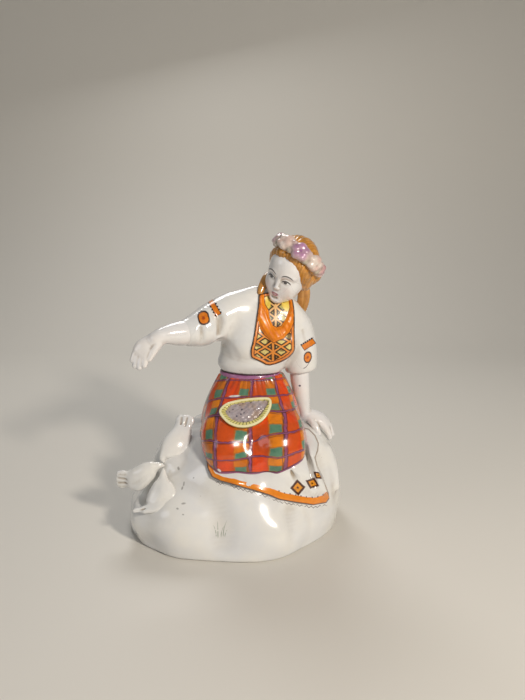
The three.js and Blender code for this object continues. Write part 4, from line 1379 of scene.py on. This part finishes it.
# Overglaze lines of a fine brush on bare white glaze, with a breath of warm colour on the cheeks.
def paintFace(tree, colour, place):
    x, y, z = splitVector(tree, attributeOf(tree, "face", "Vector"))
    for side in (-1, 1):
        blush = insideMask(tree, spotDistance(tree, x, z, (side * 4.2, -4.4), (2.4, 2.0)), 0.6, 0.6)
        colour = paintOver(tree, colour, "#e9c3b4", blush, 0.2)
    front = insideMask(tree, y, -4.0, 0.5)
    marks = 0.0
    for side in (-1, 1):
        brow = arcMask(tree, x, z, (side * 1.4, 1.0), (0, 1.85), (side * 5.3, 0.8), 0.24, 0.1)
        lid = arcMask(tree, x, z, (side * 1.6, -1.3), (0, -0.4), (side * 4.9, -1.35), 0.3, 0.08)
        iris = insideMask(
            tree, spotDistance(tree, x, z, (side * 3.1 - 0.15, -1.1), (0.72, 0.62)), 1.0, 0.12
        )
        lower = arcMask(tree, x, z, (side * 2.1, -1.5), (0, -1.85), (side * 4.4, -1.5), 0.05, 0.07)
        white = insideMask(tree, spotDistance(tree, x, z, (side * 3.15, -1.2), (1.45, 0.56)), 1.0, 0.15)
        colour = paintOver(tree, colour, "#f6f6f4", both(tree, white, front))
        colour = paintOver(tree, colour, "#6d5a54", both(tree, lower, front), 0.55)
        marks = either(tree, marks, brow, lid, iris)
    colour = paintOver(tree, colour, paintColours["dark"], both(tree, marks, front), 0.92)
    upperLip = arcMask(tree, x, z, (-1.45, -7.1), (0, -6.75), (1.45, -7.1), 0.36, 0.12)
    lowerLip = arcMask(tree, x, z, (-1.15, -7.35), (0, -7.7), (1.15, -7.35), 0.36, 0.14)
    lips = both(tree, either(tree, upperLip, lowerLip), front)
    return paintOver(tree, colour, paintColours["lip"], lips, 0.8), 0.0


faceMaterial = fired("face_glaze", paintFace, base="skin", rippleMm=4.0)
finishClay("head_face", headClay, faceMaterial, ["head"], lambda p: {"face": p}, fromHead)

skinMaterial = fired("skin_glaze", base="skin", rippleMm=4.0)
neck = {"low": (12, -10, 99), "high": (34, 8, 121), "cell": 0.35}
neckLine = [
    (20.6, -1.6, 102.5, 6.4), (21.6, -1.9, 107.5, 5.0), (23.2, -2.2, 112, 4.5), (25.0, -2.4, 117, 4.8)
]
neckClay = Clay(neck["low"], neck["high"], neck["cell"])
neckClay.add(limb(neckLine), 1)


def paintNeck(tree, colour, place):
    # Hair and a dark cord lie round the throat under the chin: the dark band is partly the cord and
    # partly painted shadow of the chin.
    x, _, z = splitVector(tree, place)
    slant = calc(tree, "ADD", z, calc(tree, "MULTIPLY", x, 0.5))
    cord = bandMask(tree, wobbled(tree, place, slant, 0.3, 2.0), 119.4, 121.2, 0.3)
    return paintOver(tree, colour, "#5b4a1e", cord, 0.85), cord


neckMaterial = fired("neck_glaze", paintNeck, base="skin")
finishClay("neck_throat", neckClay, neckMaterial, ["neck"])

# The hair is modelled round the same middle as the head.
hair = {"cell": 0.26}
hairClay = Clay((-13, -12.6, -12), (13, 15, 14.5), hair["cell"])
hairClay.add(blob((0, 2.4, 3.4), (9.0, 9.9, 9.9)), 2)
for side, back in ((-1, 2.0), (1, 0.0)):
    hairClay.add(
        limb(
            [
                (side * 2.4, -6.0, 8.3, 1.5), (side * 6.2, -4.4 + back, 5.4, 2.0),
                (side * 7.2, -1.6 + back, 0.6, 2.2), (side * 6.8, 1.8 + back, -4.0, 2.3),
                (side * 4, 5.6, -6.0, 2.4),
            ],
        ),
        2,
    )
hairClay.add(blob((7.0, 5.6, 0.2), (3.8, 4.6, 4.8)), 2)
hairClay.add(blob((0, -5.0, 8.9), (4.2, 2.6, 2.2)), 2)
hairClay.add(blob((0, 7.0, -3.4), (6.0, 4.4, 5.4)), 2.5)
hairClay.add(limb([(-7.2, 1.0, -3, 2.2), (-7.0, 0.8, -8, 2.0), (-6.2, 0.8, -11.4, 1.3)]), 1.5)
hairClay.cut(blob((0, -11.2, -3.9), (7.2, 8.6, 9.2)), 0.8)
hairClay.cut(blob((0, -11.8, 0.6), (4.8, 7.4, 6.9)), 1.4)
hairClay.cut(blob((0, -1.0, -10.6), (5.4, 7.6, 5.4)), 1.0)


def lockOf(x, y, z):
    # Which lock a place belongs to: they comb down and back from the middle parting.
    return np.abs(x) * 0.9 + 1.6 * np.arctan2(z - 2.0, y - 3.0)


def strands(x, y, z):
    fan = lockOf(x, y, z)
    return 0.06 * np.sin(fan * 4.2) + 0.03 * np.sin(
        fan * 9.0 + z
    ) - 0.2 * bump(x, 0, 0.4) * smoothStep(2, 8, z)


hairClay.press(strands)


def hairExtra(points):
    return {"lock": lockOf(*points.T)}


# Golden-brown enamel, thinner on the raised strands and pooled between them.
def paintHair(tree, colour, place):
    lock = wobbled(tree, place, attributeOf(tree, "lock"), 0.12, 2.0)
    streak = calc(tree, "SINE", calc(tree, "MULTIPLY", lock, 7.0))
    base = brushed(tree, place, "#cf8c34", "#9a6824", 3.0)
    base = paintOver(tree, base, "#e6a94c", stepMask(tree, streak, 0.45, 0.45), 0.4)
    base = paintOver(tree, base, "#74521e", patches(tree, place, 4.0, 0.58, 0.15), 0.45)
    # The brush missed a little along the hairline.
    bare = both(tree, attributeOf(tree, "crevice"), patches(tree, place, 1.6, 0.6, 0.05))
    return paintOver(tree, base, "#ead9a8", bare, 0.45), 1.0


hairMaterial = fired("hair_enamel", paintHair, roughness=0.13)
finishClay("hair_locks", hairClay, hairMaterial, ["hair"], hairExtra, fromHead)

ribbon = {"cell": 0.32, "groove": 0.35, "backGroove": 0.3}
ribbonLines = {
    "ribbon_left": [
        (22.6, 4.6, 117.5, 2.4, 1.4), (21.6, 9.2, 111, 2.6, 1.4), (19.4, 11.8, 103, 2.9, 1.3),
        (17.6, 12.6, 94, 3.0, 1.2),
    ],
    "ribbon_right": [
        (32.4, 2.8, 119.5, 2.9, 1.6), (33.6, 4.8, 112, 3.0, 1.5), (32.6, 8.2, 104.4, 3.0, 1.4),
        (28.4, 12.0, 95, 2.9, 1.3),
    ],
}


# The same enamel as the hair, with slanting strokes.
def paintRibbon(tree, colour, place):
    x, _, z = splitVector(tree, place)
    base = brushed(tree, place, "#c98c42", "#9c682c", 3.0)
    slant = calc(
        tree, "SINE", calc(tree, "MULTIPLY", calc(tree, "ADD", x, calc(tree, "MULTIPLY", z, 0.12)), 2.2)
    )
    return paintOver(tree, base, "#cf9a52", stepMask(tree, slant, 0.3, 0.5), 0.5), 1.0


ribbonMaterial = fired("ribbon_enamel", paintRibbon, roughness=0.14)
for ribbonName, line in ribbonLines.items():
    rows = np.array(line)
    ribbonLow, ribbonHigh = rows[:, :3].min(0) - vec(9, 17, 5), rows[:, :3].max(0) + vec(5, 5, 8)
    ribbonClay = Clay(ribbonLow, ribbonHigh, ribbon["cell"])
    ribbonClay.add(limb(line, across=(1, 0, 0), count=20), 1)
    if ribbonName == "ribbon_left":
        # The lock that shows beside the throat.
        ribbonClay.add(
            limb(
                [
                    (20.5, 2.4, 121.5, 2.4), (16.4, -1.8, 120.4, 2.2), (14.2, -5.4, 117.0, 2.0),
                    (12.9, -7.4, 113.9, 1.5),
                ],
            ),
            1.5,
        )
    ribbonClay.cut(limb([(px, py + pt * 1.15, pz, ribbon["groove"]) for px, py, pz, _, pt in line]), 1.0)
    ribbonClay.cut(
        limb([(px, py - pt * 1.25, pz, ribbon["backGroove"]) for px, py, pz, _, pt in line]), 1.0
    )
    finishClay(ribbonName + "_tail", ribbonClay, ribbonMaterial, [ribbonName])

# The wreath leans back on the head, higher over the brow than behind.
wreath = {
    "half": (8.5, 9.5), "tube": 2.6, "middle": (0.8, 2.8, 5.8), "tip": 37, "lean": 11, "cell": 0.25,
    "blossoms": 9, "first": 14,
}
wreathTurns = turnMatrix(-wreath["tip"], wreath["lean"], 0)
wreathTip = wreathTurns[1] @ wreathTurns[0]


def onWreath(angle, reach=0.0, lift=0.0):
    flat = vec(
        (wreath["half"][0] + reach) * math.cos(angle), (wreath["half"][1] + reach) * math.sin(angle), lift
    )
    return wreathTip @ flat + vec(*wreath["middle"])


wreathClay = Clay((-15.5, -13, -8), (16.5, 18, 19), wreath["cell"])
ring = []
for k in range(41):
    angle = 2 * math.pi * k / 40
    ring.append((*onWreath(angle), wreath["tube"] + 0.3 * math.sin(9 * angle)))
wreathClay.add(limb(ring, count=90), 1)
blossomPaint = [
    ("#8a3a8e", "#b56cb4", 1.25), ("#ece2da", "#dbb5ac", 1.15), ("#b4607e", "#e8bcc0", 1.0),
    ("#e2a9a8", "#f8e6e0", 1.0), ("#a4589c", "#d9b0d2", 0.9), ("#f0e4dc", "#e2a8a0", 1.0),
    ("#e0a0a4", "#f7e2dc", 1.0), ("#8f4a80", "#c79ab8", 1.0), ("#e4c4ba", "#f2e6de", 1.15),
]
daubs = []
for k, (petalColour, paleColour, size) in enumerate(blossomPaint):
    angle = 2 * math.pi * k / wreath["blossoms"] - math.pi / 2 + math.radians(wreath["first"])
    outward = unit(wreathTip @ vec(math.cos(angle), math.sin(angle), 0.15))
    sideways = unit(np.cross(outward, wreathTip @ vec(0, 0, 1)))
    upward = np.cross(sideways, outward)
    heart = onWreath(angle) + outward * (wreath["tube"] - 1.0)
    for j in range(5):
        turn = 2 * math.pi * j / 5 + 0.4 * k
        at = heart + (sideways * math.cos(turn) + upward * math.sin(turn)) * 1.5 * size
        wreathClay.add(blob(at, (1.6 * size, 1.6 * size, 1.2 * size)), 0.8)
        daubs.append((at + outward * 0.6, 1.3 * size, paleColour if j % 2 else petalColour))
    wreathClay.add(blob(heart + outward * 0.6, (0.8, 0.8, 0.8)), 0.5)
    daubs.append((heart + outward * 1.4, 0.7, petalColour))
    # A leaf above and a leaf below, between this blossom and the next.
    leafAngle = angle + math.pi / wreath["blossoms"]
    for lift in (-1, 1):
        at = onWreath(leafAngle, wreath["tube"] * 0.62, lift * wreath["tube"] * 0.62)
        wreathClay.add(blob(at, (1.1, 1.1, 1.1)), 0.6)
        daubs.append((at, 1.15, "#6f7f5a" if lift < 0 else "#b99aa0"))


def wreathExtra(points):
    colour = np.tile(np.array(hexColour("#dcc8bc")), (len(points), 1)) * 0.16
    total = np.full(len(points), 0.16)
    for at, reach, paint in daubs:
        weight = np.exp(-((np.linalg.norm(points - at, axis=1) / reach) ** 2) * 2.4)
        colour = colour + weight[:, None] * np.array(hexColour(paint))
        total = total + weight
    return {"daub": colour / total[:, None]}


# Pale enamels that ran into each other in the kiln.
def paintWreath(tree, colour, place):
    daub = attributeOf(tree, "daub", "Color")
    shade = addNode(
        tree, "ShaderNodeHueSaturation", {"Saturation": 1.3, "Value": 0.7, "Color": daub}
    ).outputs[0]
    uneven = patches(tree, place, 1.3, 0.55, 0.12, 3.0)
    colour = paintOver(tree, daub, shade, uneven, 0.4)
    # Painted shade: the hollows between blossoms and leaves are darkened.
    crevice = calc(tree, "MULTIPLY", attributeOf(tree, "crevice"), 0.42)
    return paintOver(tree, colour, "#6a5648", crevice), 0.8


wreathMaterial = fired("wreath_enamel", paintWreath, roughness=0.15)
wreathNodes = ["wreath"] + [f"blossom_{k}" for k in range(1, 10)]
finishClay(
    "wreath_flowers", wreathClay, wreathMaterial, wreathNodes, wreathExtra, fromHead
)

# Arms and hands, with fingers that press into each other.
arms = {
    "rightBox": ((-49, -34, 77), (-8, -8, 107)), "rightCell": 0.24,
    "leftBox": ((24, -8, 32), (57, 17, 82)), "leftCell": 0.26,
}
rightArm = Clay(*arms["rightBox"], arms["rightCell"])
rightArm.add(
    limb(
        [
            (-13, -13.0, 98.0, 5.6), (-19, -17.0, 97.2, 5.6), (-23, -19.4, 97.1, 5.35),
            (-27, -22.4, 97.2, 4.2), (-30.2, -24.4, 96.9, 3.25), (-32, -25, 95.8, 3.1),
        ],
        count=26,
    ),
    1,
)
handAcross = unit((0.8, -0.2, -0.56))
rightArm.add(
    limb(
        [
            (-30.6, -24.5, 96.4, 3.1, 2.8), (-33.4, -25.1, 94.2, 4.3, 2.5),
            (-36.2, -25.9, 91.9, 5.0, 2.4), (-38.0, -26.4, 89.6, 4.9, 2.0),
        ],
        across=handAcross, count=14,
    ),
    1.5,
)
rightFingers = [
    [(-38.8, -25.4, 92.6, 1.6), (-41.2, -25.9, 89.4, 1.55), (-42.4, -26.8, 86.6, 1.15)],
    [(-37.4, -25.9, 91.8, 1.7), (-39.9, -26.5, 87.9, 1.65), (-41.2, -27.6, 84.4, 1.25)],
    [(-36.0, -26.4, 91.0, 1.7), (-38.1, -27.2, 87.2, 1.65), (-39.2, -28.3, 83.8, 1.25)],
    [(-34.6, -26.9, 90.4, 1.6), (-36.2, -27.8, 87.4, 1.55), (-36.9, -28.8, 84.8, 1.2)],
]
for finger in rightFingers:
    rightArm.add(limb(finger), 0.9)
rightArm.add(
    limb([(-31.2, -26.2, 93.6, 1.6), (-33.0, -27.8, 90.4, 1.45), (-34.6, -28.6, 87.4, 1.05)]), 0.7
)
finishClay("arm_right", rightArm, skinMaterial, ["forearm_right", "hand_right"])

leftArm = Clay(*arms["leftBox"], arms["leftCell"])
leftArm.add(
    limb(
        [
            (31.6, 2, 79, 4.7), (32.0, 2.4, 71, 4.7), (33.2, 3.4, 61, 3.9), (34.6, 4.4, 54, 2.9),
            (36.0, 4.8, 51.4, 3.0),
        ],
        count=24,
    ),
    1,
)
leftArm.add(
    limb(
        [
            (35.2, 4.6, 52.2, 2.9, 2.6), (39.0, 5.2, 50.8, 4.8, 3.2), (42.6, 5.2, 49.2, 5.6, 3.1),
            (45.0, 5.2, 47.4, 5.4, 2.7),
        ],
        across=(0.1, 0.98, 0.05), count=14,
    ),
    1.5,
)
leftFingers = [
    [(42.8, 8.8, 48.4, 1.5), (45.8, 9.4, 46.8, 1.5), (47.4, 9.6, 44.0, 1.15)],
    [(43.4, 6.4, 48.6, 1.6), (46.6, 6.6, 46.6, 1.6), (48.4, 6.4, 43.2, 1.25)],
    [(43.4, 3.8, 48.2, 1.6), (46.6, 3.4, 46.2, 1.6), (48.4, 2.6, 42.4, 1.25)],
    [(42.4, 1.4, 47.8, 1.55), (45.4, 0.6, 45.6, 1.55), (47.0, -0.6, 41.8, 1.2)],
]
for finger in leftFingers:
    leftArm.add(limb(finger), 1.2)
leftArm.add(limb([(37.6, 2.0, 50.0, 1.8), (39.6, -1.0, 47.6, 1.7), (41.4, -2.6, 44.4, 1.25)]), 0.8)


def paintLeftArm(tree, colour, place):
    across, up, depth = seenParts(tree)
    fleck = insideMask(tree, spotDistance(tree, across, up, (16.9, -16.2), (0.55, 0.42)), 1.0, 0.2)
    return paintOver(tree, colour, "#4a4660", both(tree, fleck, insideMask(tree, depth, 2.0, 0.5))), 0.0


leftArmMaterial = fired("left_arm_glaze", paintLeftArm, base="skin", rippleMm=4.0)
finishClay(
    "arm_left", leftArm, leftArmMaterial, ["forearm_left", "hand_left"], seenAttribute
)

# The half-moon dish of grain, modelled flat and then tilted in the lap.
dish = {"at": (6.6, -25.6, 61.7), "tilt": 48, "yaw": -4, "cell": 0.24}
dishTurns = turnMatrix(dish["tilt"], dish["yaw"], 0)
dishAxes = dishTurns[1] @ dishTurns[0]
dishOutline = [
    (-11.2, 3.2), (-8.6, 5.4), (-4.5, 6.4), (1.5, 7.0), (7.5, 7.0), (10.9, 6.7), (11.6, 4.8), (11.2, 1.8),
    (9.2, -1.8), (6.0, -4.9), (1.4, -6.6), (-3.4, -6.5), (-7.6, -4.6), (-10.4, -1.4), (-11.8, 1.2),
]
dishOutline = rounded(dishOutline, 2)


def fromDish(points):
    return points @ dishAxes.T + vec(*dish["at"])


dishClay = Clay((-14.5, -9, -5), (14.5, 9.5, 4.5), dish["cell"])
gridX, gridY, gridZ = dishClay.everywhere()
rim = outlineDistance(gridX, gridY, dishOutline)
body = np.maximum(rim + 0.35 * np.clip(-gridZ, -2, 3), np.maximum(gridZ - 1.7, -3.6 - gridZ))
rimWide = 2.4 - 1.3 * smoothStep(1.5, 5.5, gridY)
body = np.maximum(body, -np.maximum(rim + rimWide, 0.3 - gridZ)).astype(np.float32)
for axis in range(3):
    for _ in range(4):
        body = (np.roll(body, 1, axis) + 2 * body + np.roll(body, -1, axis)) / 4
dishClay.field = body


def dishExtra(points):
    x, y, z = points.T
    return {"rim": outlineDistance(x, y, dishOutline), "around": np.arctan2(y * 1.7, x) * 9.0}


# Cream enamel with a rim of short dark strokes.
def paintDish(tree, colour, place):
    rimValue = attributeOf(tree, "rim")
    around = wobbled(tree, place, attributeOf(tree, "around"), 0.12, 1.5)
    base = brushed(tree, place, "#e4da8c", "#c2b257", 1.8)
    beat = calc(tree, "PINGPONG", around, 0.78)
    ticks = both(
        tree, insideMask(tree, beat, 0.2, 0.08),
        bandMask(tree, wobbled(tree, place, rimValue, 0.3, 1.0), -2.3, -0.9, 0.15),
    )
    above = bandMask(tree, around, 8.0, 21.0, 1.0)
    base = paintOver(
        tree, base, "#4a4526",
        calc(tree, "MULTIPLY", ticks, calc(tree, "SUBTRACT", 0.85, calc(tree, "MULTIPLY", above, 0.5))),
    )
    base = paintOver(tree, base, "#f4efc8", bandMask(tree, rimValue, -0.8, 0.15, 0.15), 0.8)
    return paintOver(tree, base, "#6a5430", stepMask(tree, rimValue, 0.2, 0.2), 0.8), 1.0


dishMaterial = fired("dish_enamel", paintDish, roughness=0.14)
finishClay("dish_halfmoon", dishClay, dishMaterial, ["dish"], dishExtra, fromDish, relax=2)

grainClay = Clay((-13, -8, -2.5), (13, 8.5, 3.4), dish["cell"])
gridX, gridY, gridZ = grainClay.everywhere()
fill = outlineDistance(gridX, gridY, dishOutline) + 2.2 - 1.3 * smoothStep(1.5, 5.5, gridY)
heap = 0.7 + 0.6 * smoothStep(0, -4, fill) + 0.2 * np.sin(
    gridX * 2.3 + np.sin(gridY * 1.7)
) * np.sin(gridY * 2.6)
grainClay.field = np.maximum(np.maximum(fill, gridZ - heap), -1.6 - gridZ).astype(np.float32)


# A thin grey-mauve wash with dark dots for the seeds, drawn larger than real seeds so that they show.
def paintGrain(tree, colour, place):
    base = brushed(tree, place, "#b3a8ac", "#84737a", 3.0)
    base = paintOver(tree, base, "#a8896c", patches(tree, place, 4.0, 0.56, 0.15), 0.6)
    seeds = addNode(tree, "ShaderNodeTexVoronoi", {"Vector": place, "Scale": 1 / 1.7, "Randomness": 0.8})
    seed = insideMask(tree, seeds.outputs["Distance"], 0.26, 0.08)
    some = patches(tree, place, 3.0, 0.47, 0.05)
    return paintOver(tree, base, "#2f3346", both(tree, seed, some), 0.85), 1.0


grainMaterial = fired("grain_enamel", paintGrain, roughness=0.18)
finishClay("grain_heap", grainClay, grainMaterial, ["grain"], None, fromDish)

# Each dove is a leaf-shaped body from beak to rump, a paddle of a tail and two folded wings.
doveMaking = {"cell": 0.26, "margin": 6.5, "feathers": (-0.36, 0.3), "rootSpread": 3.0, "tipSpread": 4.4}
doves = {
    "dove_upper": {
        "across": (0.82, -0.25, -0.5),
        "line": [
            (-31.9, -19.6, 36.6, 0.5, 0.5), (-32.4, -18.9, 38.2, 1.4, 1.3),
            (-31.6, -17.6, 40.2, 2.2, 2.0), (-28.8, -15.0, 42.4, 4.8, 3.4),
            (-26.2, -12.4, 44.4, 5.6, 4.0), (-24.4, -10.0, 47.4, 4.2, 2.9),
        ],
        "tail": [
            (-24.2, -9.8, 47.6, 3.6, 1.9), (-23.6, -8.6, 50.2, 3.9, 1.5), (-23.0, -7.8, 52.6, 4.6, 1.3),
            (-22.8, -7.2, 54.4, 3.9, 1.1),
        ],
        "tailAcross": (0.98, -0.15, -0.05),
        "wing": [
            (-29.6, -18.4, 39.4, 1.2, 1.0), (-25.6, -16.6, 40.6, 2.0, 1.3),
            (-22.6, -13.8, 43.2, 2.3, 1.4), (-21.6, -10.6, 47.0, 1.2, 0.9),
        ],
        "farWing": [
            (-31.2, -15.6, 43.2, 1.0, 0.9), (-28.8, -13.2, 46.2, 1.6, 1.1), (-26.6, -10.6, 48.6, 1.0, 0.8)
        ],
    },
    "dove_left": {
        "across": (0.28, -0.25, 0.93),
        "line": [
            (-31.6, -21.6, 35.8, 0.5, 0.5), (-33.0, -21.6, 36.0, 1.2, 1.2),
            (-35.0, -21.7, 35.4, 2.0, 1.9), (-38.2, -21.8, 33.2, 4.0, 3.0),
            (-41.6, -21.5, 30.8, 5.6, 3.6), (-45.0, -21.0, 29.2, 4.6, 2.8),
        ],
        "tail": [
            (-45.2, -20.9, 29.2, 4.4, 1.9), (-48.2, -20.5, 28.7, 4.5, 1.5),
            (-51.2, -20.2, 28.4, 5.2, 1.3), (-53.0, -20.0, 28.6, 4.6, 1.1),
        ],
        "tailAcross": (0.1, -0.25, 0.96),
        "wing": [
            (-36.4, -23.6, 31.6, 1.2, 1.0), (-39.6, -24.4, 28.4, 2.0, 1.3),
            (-42.8, -23.8, 26.0, 1.8, 1.3), (-46.0, -22.2, 25.6, 1.0, 0.9),
        ],
        "farWing": [
            (-37.4, -21.8, 36.4, 1.0, 1.0), (-40.6, -21.6, 35.4, 1.5, 1.2), (-44.4, -21.0, 33.4, 1.0, 0.9)
        ],
    },
    "dove_front": {
        "across": (0.86, -0.35, 0.36),
        "line": [
            (-31.2, -24.2, 35.2, 0.5, 0.5), (-31.2, -24.8, 33.8, 1.2, 1.2),
            (-31.2, -26.2, 31.6, 2.2, 2.0), (-31.4, -28.6, 28.2, 4.6, 3.2),
            (-31.8, -30.6, 25.2, 5.6, 3.6), (-32.8, -32.0, 22.8, 4.8, 2.8),
        ],
        "tail": [
            (-33.0, -32.6, 22.4, 2.6, 1.6), (-36.4, -33.8, 21.2, 2.0, 1.3),
            (-39.8, -34.6, 20.5, 1.7, 1.1), (-42.6, -35.0, 20.3, 1.4, 0.9),
        ],
        "tailAcross": (0.25, -0.4, 0.9),
        "wing": [
            (-27.6, -29.4, 29.6, 1.2, 1.0), (-26.4, -31.8, 26.2, 2.0, 1.5),
            (-28.6, -34.2, 23.0, 2.3, 1.7), (-33.0, -35.6, 21.4, 1.9, 1.4),
            (-38.0, -35.8, 20.4, 1.2, 1.0),
        ],
        "farWing": [
            (-33.6, -28.6, 29.6, 1.2, 1.1), (-35.2, -30.4, 26.6, 1.9, 1.4), (-36.4, -32.0, 24.0, 1.4, 1.1)
        ],
    },
}
# The doves are bare white glaze.
doveMaterial = fired("dove_glaze", rippleMm=4.0)
for doveName, dove in doves.items():
    every = np.array([s[:3] for key in ("line", "tail", "wing", "farWing") for s in dove[key]])
    clay = Clay(
        every.min(0) - doveMaking["margin"], every.max(0) + doveMaking["margin"], doveMaking["cell"]
    )
    across = unit(dove["across"])
    clay.add(limb(dove["line"], across=across, count=26), 1)
    clay.add(limb(dove["tail"], across=unit(dove["tailAcross"]), count=14), 3.2)
    for part in ("wing", "farWing"):
        clay.add(limb(dove[part], across=across, count=16), 2.2)
    # Feathers are marked in the tail by shallow grooves.
    root, tip = vec(*dove["tail"][1][:3]), vec(*dove["tail"][-1][:3])
    lie, spread = unit(tip - root), unit(dove["tailAcross"])
    normal = unit(np.cross(lie, spread))
    for k in doveMaking["feathers"]:
        for face in (-1, 1):
            start = root + spread * k * doveMaking["rootSpread"] + normal * face * 1.3
            end = tip + lie * 0.5 + spread * k * doveMaking["tipSpread"] + normal * face * 1.1
            clay.cut(limb([(*start, 0.05), (*(0.5 * (start + end)), 0.1), (*end, 0.08)]), 1.4)
    nodes = [doveName, doveName + "_tail", doveName + "_wing_near", doveName + "_wing_far"]
    finishClay(doveName + "_bird", clay, doveMaterial, nodes)


# The stage: paper, lights and camera.
def plainMaterial(name, colour, roughness):
    material = bpy.data.materials.new(name)
    material.use_nodes = True
    tree = material.node_tree
    tree.nodes.clear()
    shader = addNode(
        tree, "ShaderNodeBsdfPrincipled", {"Base Color": hexColour(colour), "Roughness": roughness}
    )
    addNode(tree, "ShaderNodeOutputMaterial", {"Surface": shader.outputs[0]})
    return material


def addLight(name, at, target, energy, size, colour):
    light = bpy.data.lights.new(name, "AREA")
    light.shape = "DISK"
    light.energy, light.size = energy, size
    light.color = hexColour(colour)[:3]
    lamp = bpy.data.objects.new(name, light)
    lamp.location = at
    lamp.rotation_euler = Vector(vec(*at) - vec(*target)).to_track_quat("Z", "Y").to_euler()
    bpy.context.scene.collection.objects.link(lamp)


# Plain pale paper that curves up behind.
paper = {"wide": 6.0, "front": -6.0, "back": 0.62, "tall": 1.3, "curve": 0.25}
profile = [(paper["front"], 0.0), (paper["back"] - paper["curve"], 0.0)]
for k in range(1, 13):
    turn = k / 12 * math.pi / 2
    profile.append(
        (paper["back"] - paper["curve"] * (1 - math.sin(turn)), paper["curve"] * (1 - math.cos(turn)))
    )
profile.append((paper["back"], paper["tall"]))
floorMesh = bpy.data.meshes.new("floor")
floorVertices = [(side * paper["wide"], y, z) for y, z in profile for side in (-1, 1)]
floorFaces = [(2 * k, 2 * k + 1, 2 * k + 3, 2 * k + 2) for k in range(len(profile) - 1)]
floorMesh.from_pydata(floorVertices, [], floorFaces)
floorMesh.shade_smooth()
floorMesh.materials.append(plainMaterial("floor_paper", "#dedad2", 0.6))
floor = bpy.data.objects.new("floor", floorMesh)
bpy.context.scene.collection.objects.link(floor)

world = bpy.data.worlds.new("studio")
bpy.context.scene.world = world
world.use_nodes = True
background = world.node_tree.nodes["Background"]
background.inputs["Color"].default_value = hexColour("#e4e4e2")
background.inputs["Strength"].default_value = 0.25  # soft light from all round
# Places and sizes in metres, power in watts.
lampTarget = (0.0, 0.0, 0.07)
lamps = {
    "key": {"at": (0.32, -0.47, 0.35), "energy": 2.7, "size": 0.07, "colour": "#fff6ea"},
    "fill": {"at": (-0.55, -0.35, 0.3), "energy": 0.35, "size": 0.3, "colour": "#eef2ff"},
    "rim": {"at": (-0.1, 0.4, 0.55), "energy": 1.3, "size": 0.3, "colour": "#ffffff"},
}
for lampName, values in lamps.items():
    addLight(lampName, target=lampTarget, **values)
print("stage lit")

cameraData = bpy.data.cameras.new("camera")
cameraData.sensor_width = viewer["sensorMm"]
cameraData.lens = viewer["sensorMm"] * viewer["lensShare"]
cameraData.clip_start = viewer["nearest"]
camera = bpy.data.objects.new("camera", cameraData)
camera.location = vec(*viewer["eye"]) * metresPerMm
camera.rotation_euler = (math.pi / 2 - viewer["pitch"], 0, 0)
bpy.context.scene.collection.objects.link(camera)
bpy.context.scene.camera = camera
bpy.context.scene.view_settings.view_transform = "Standard"
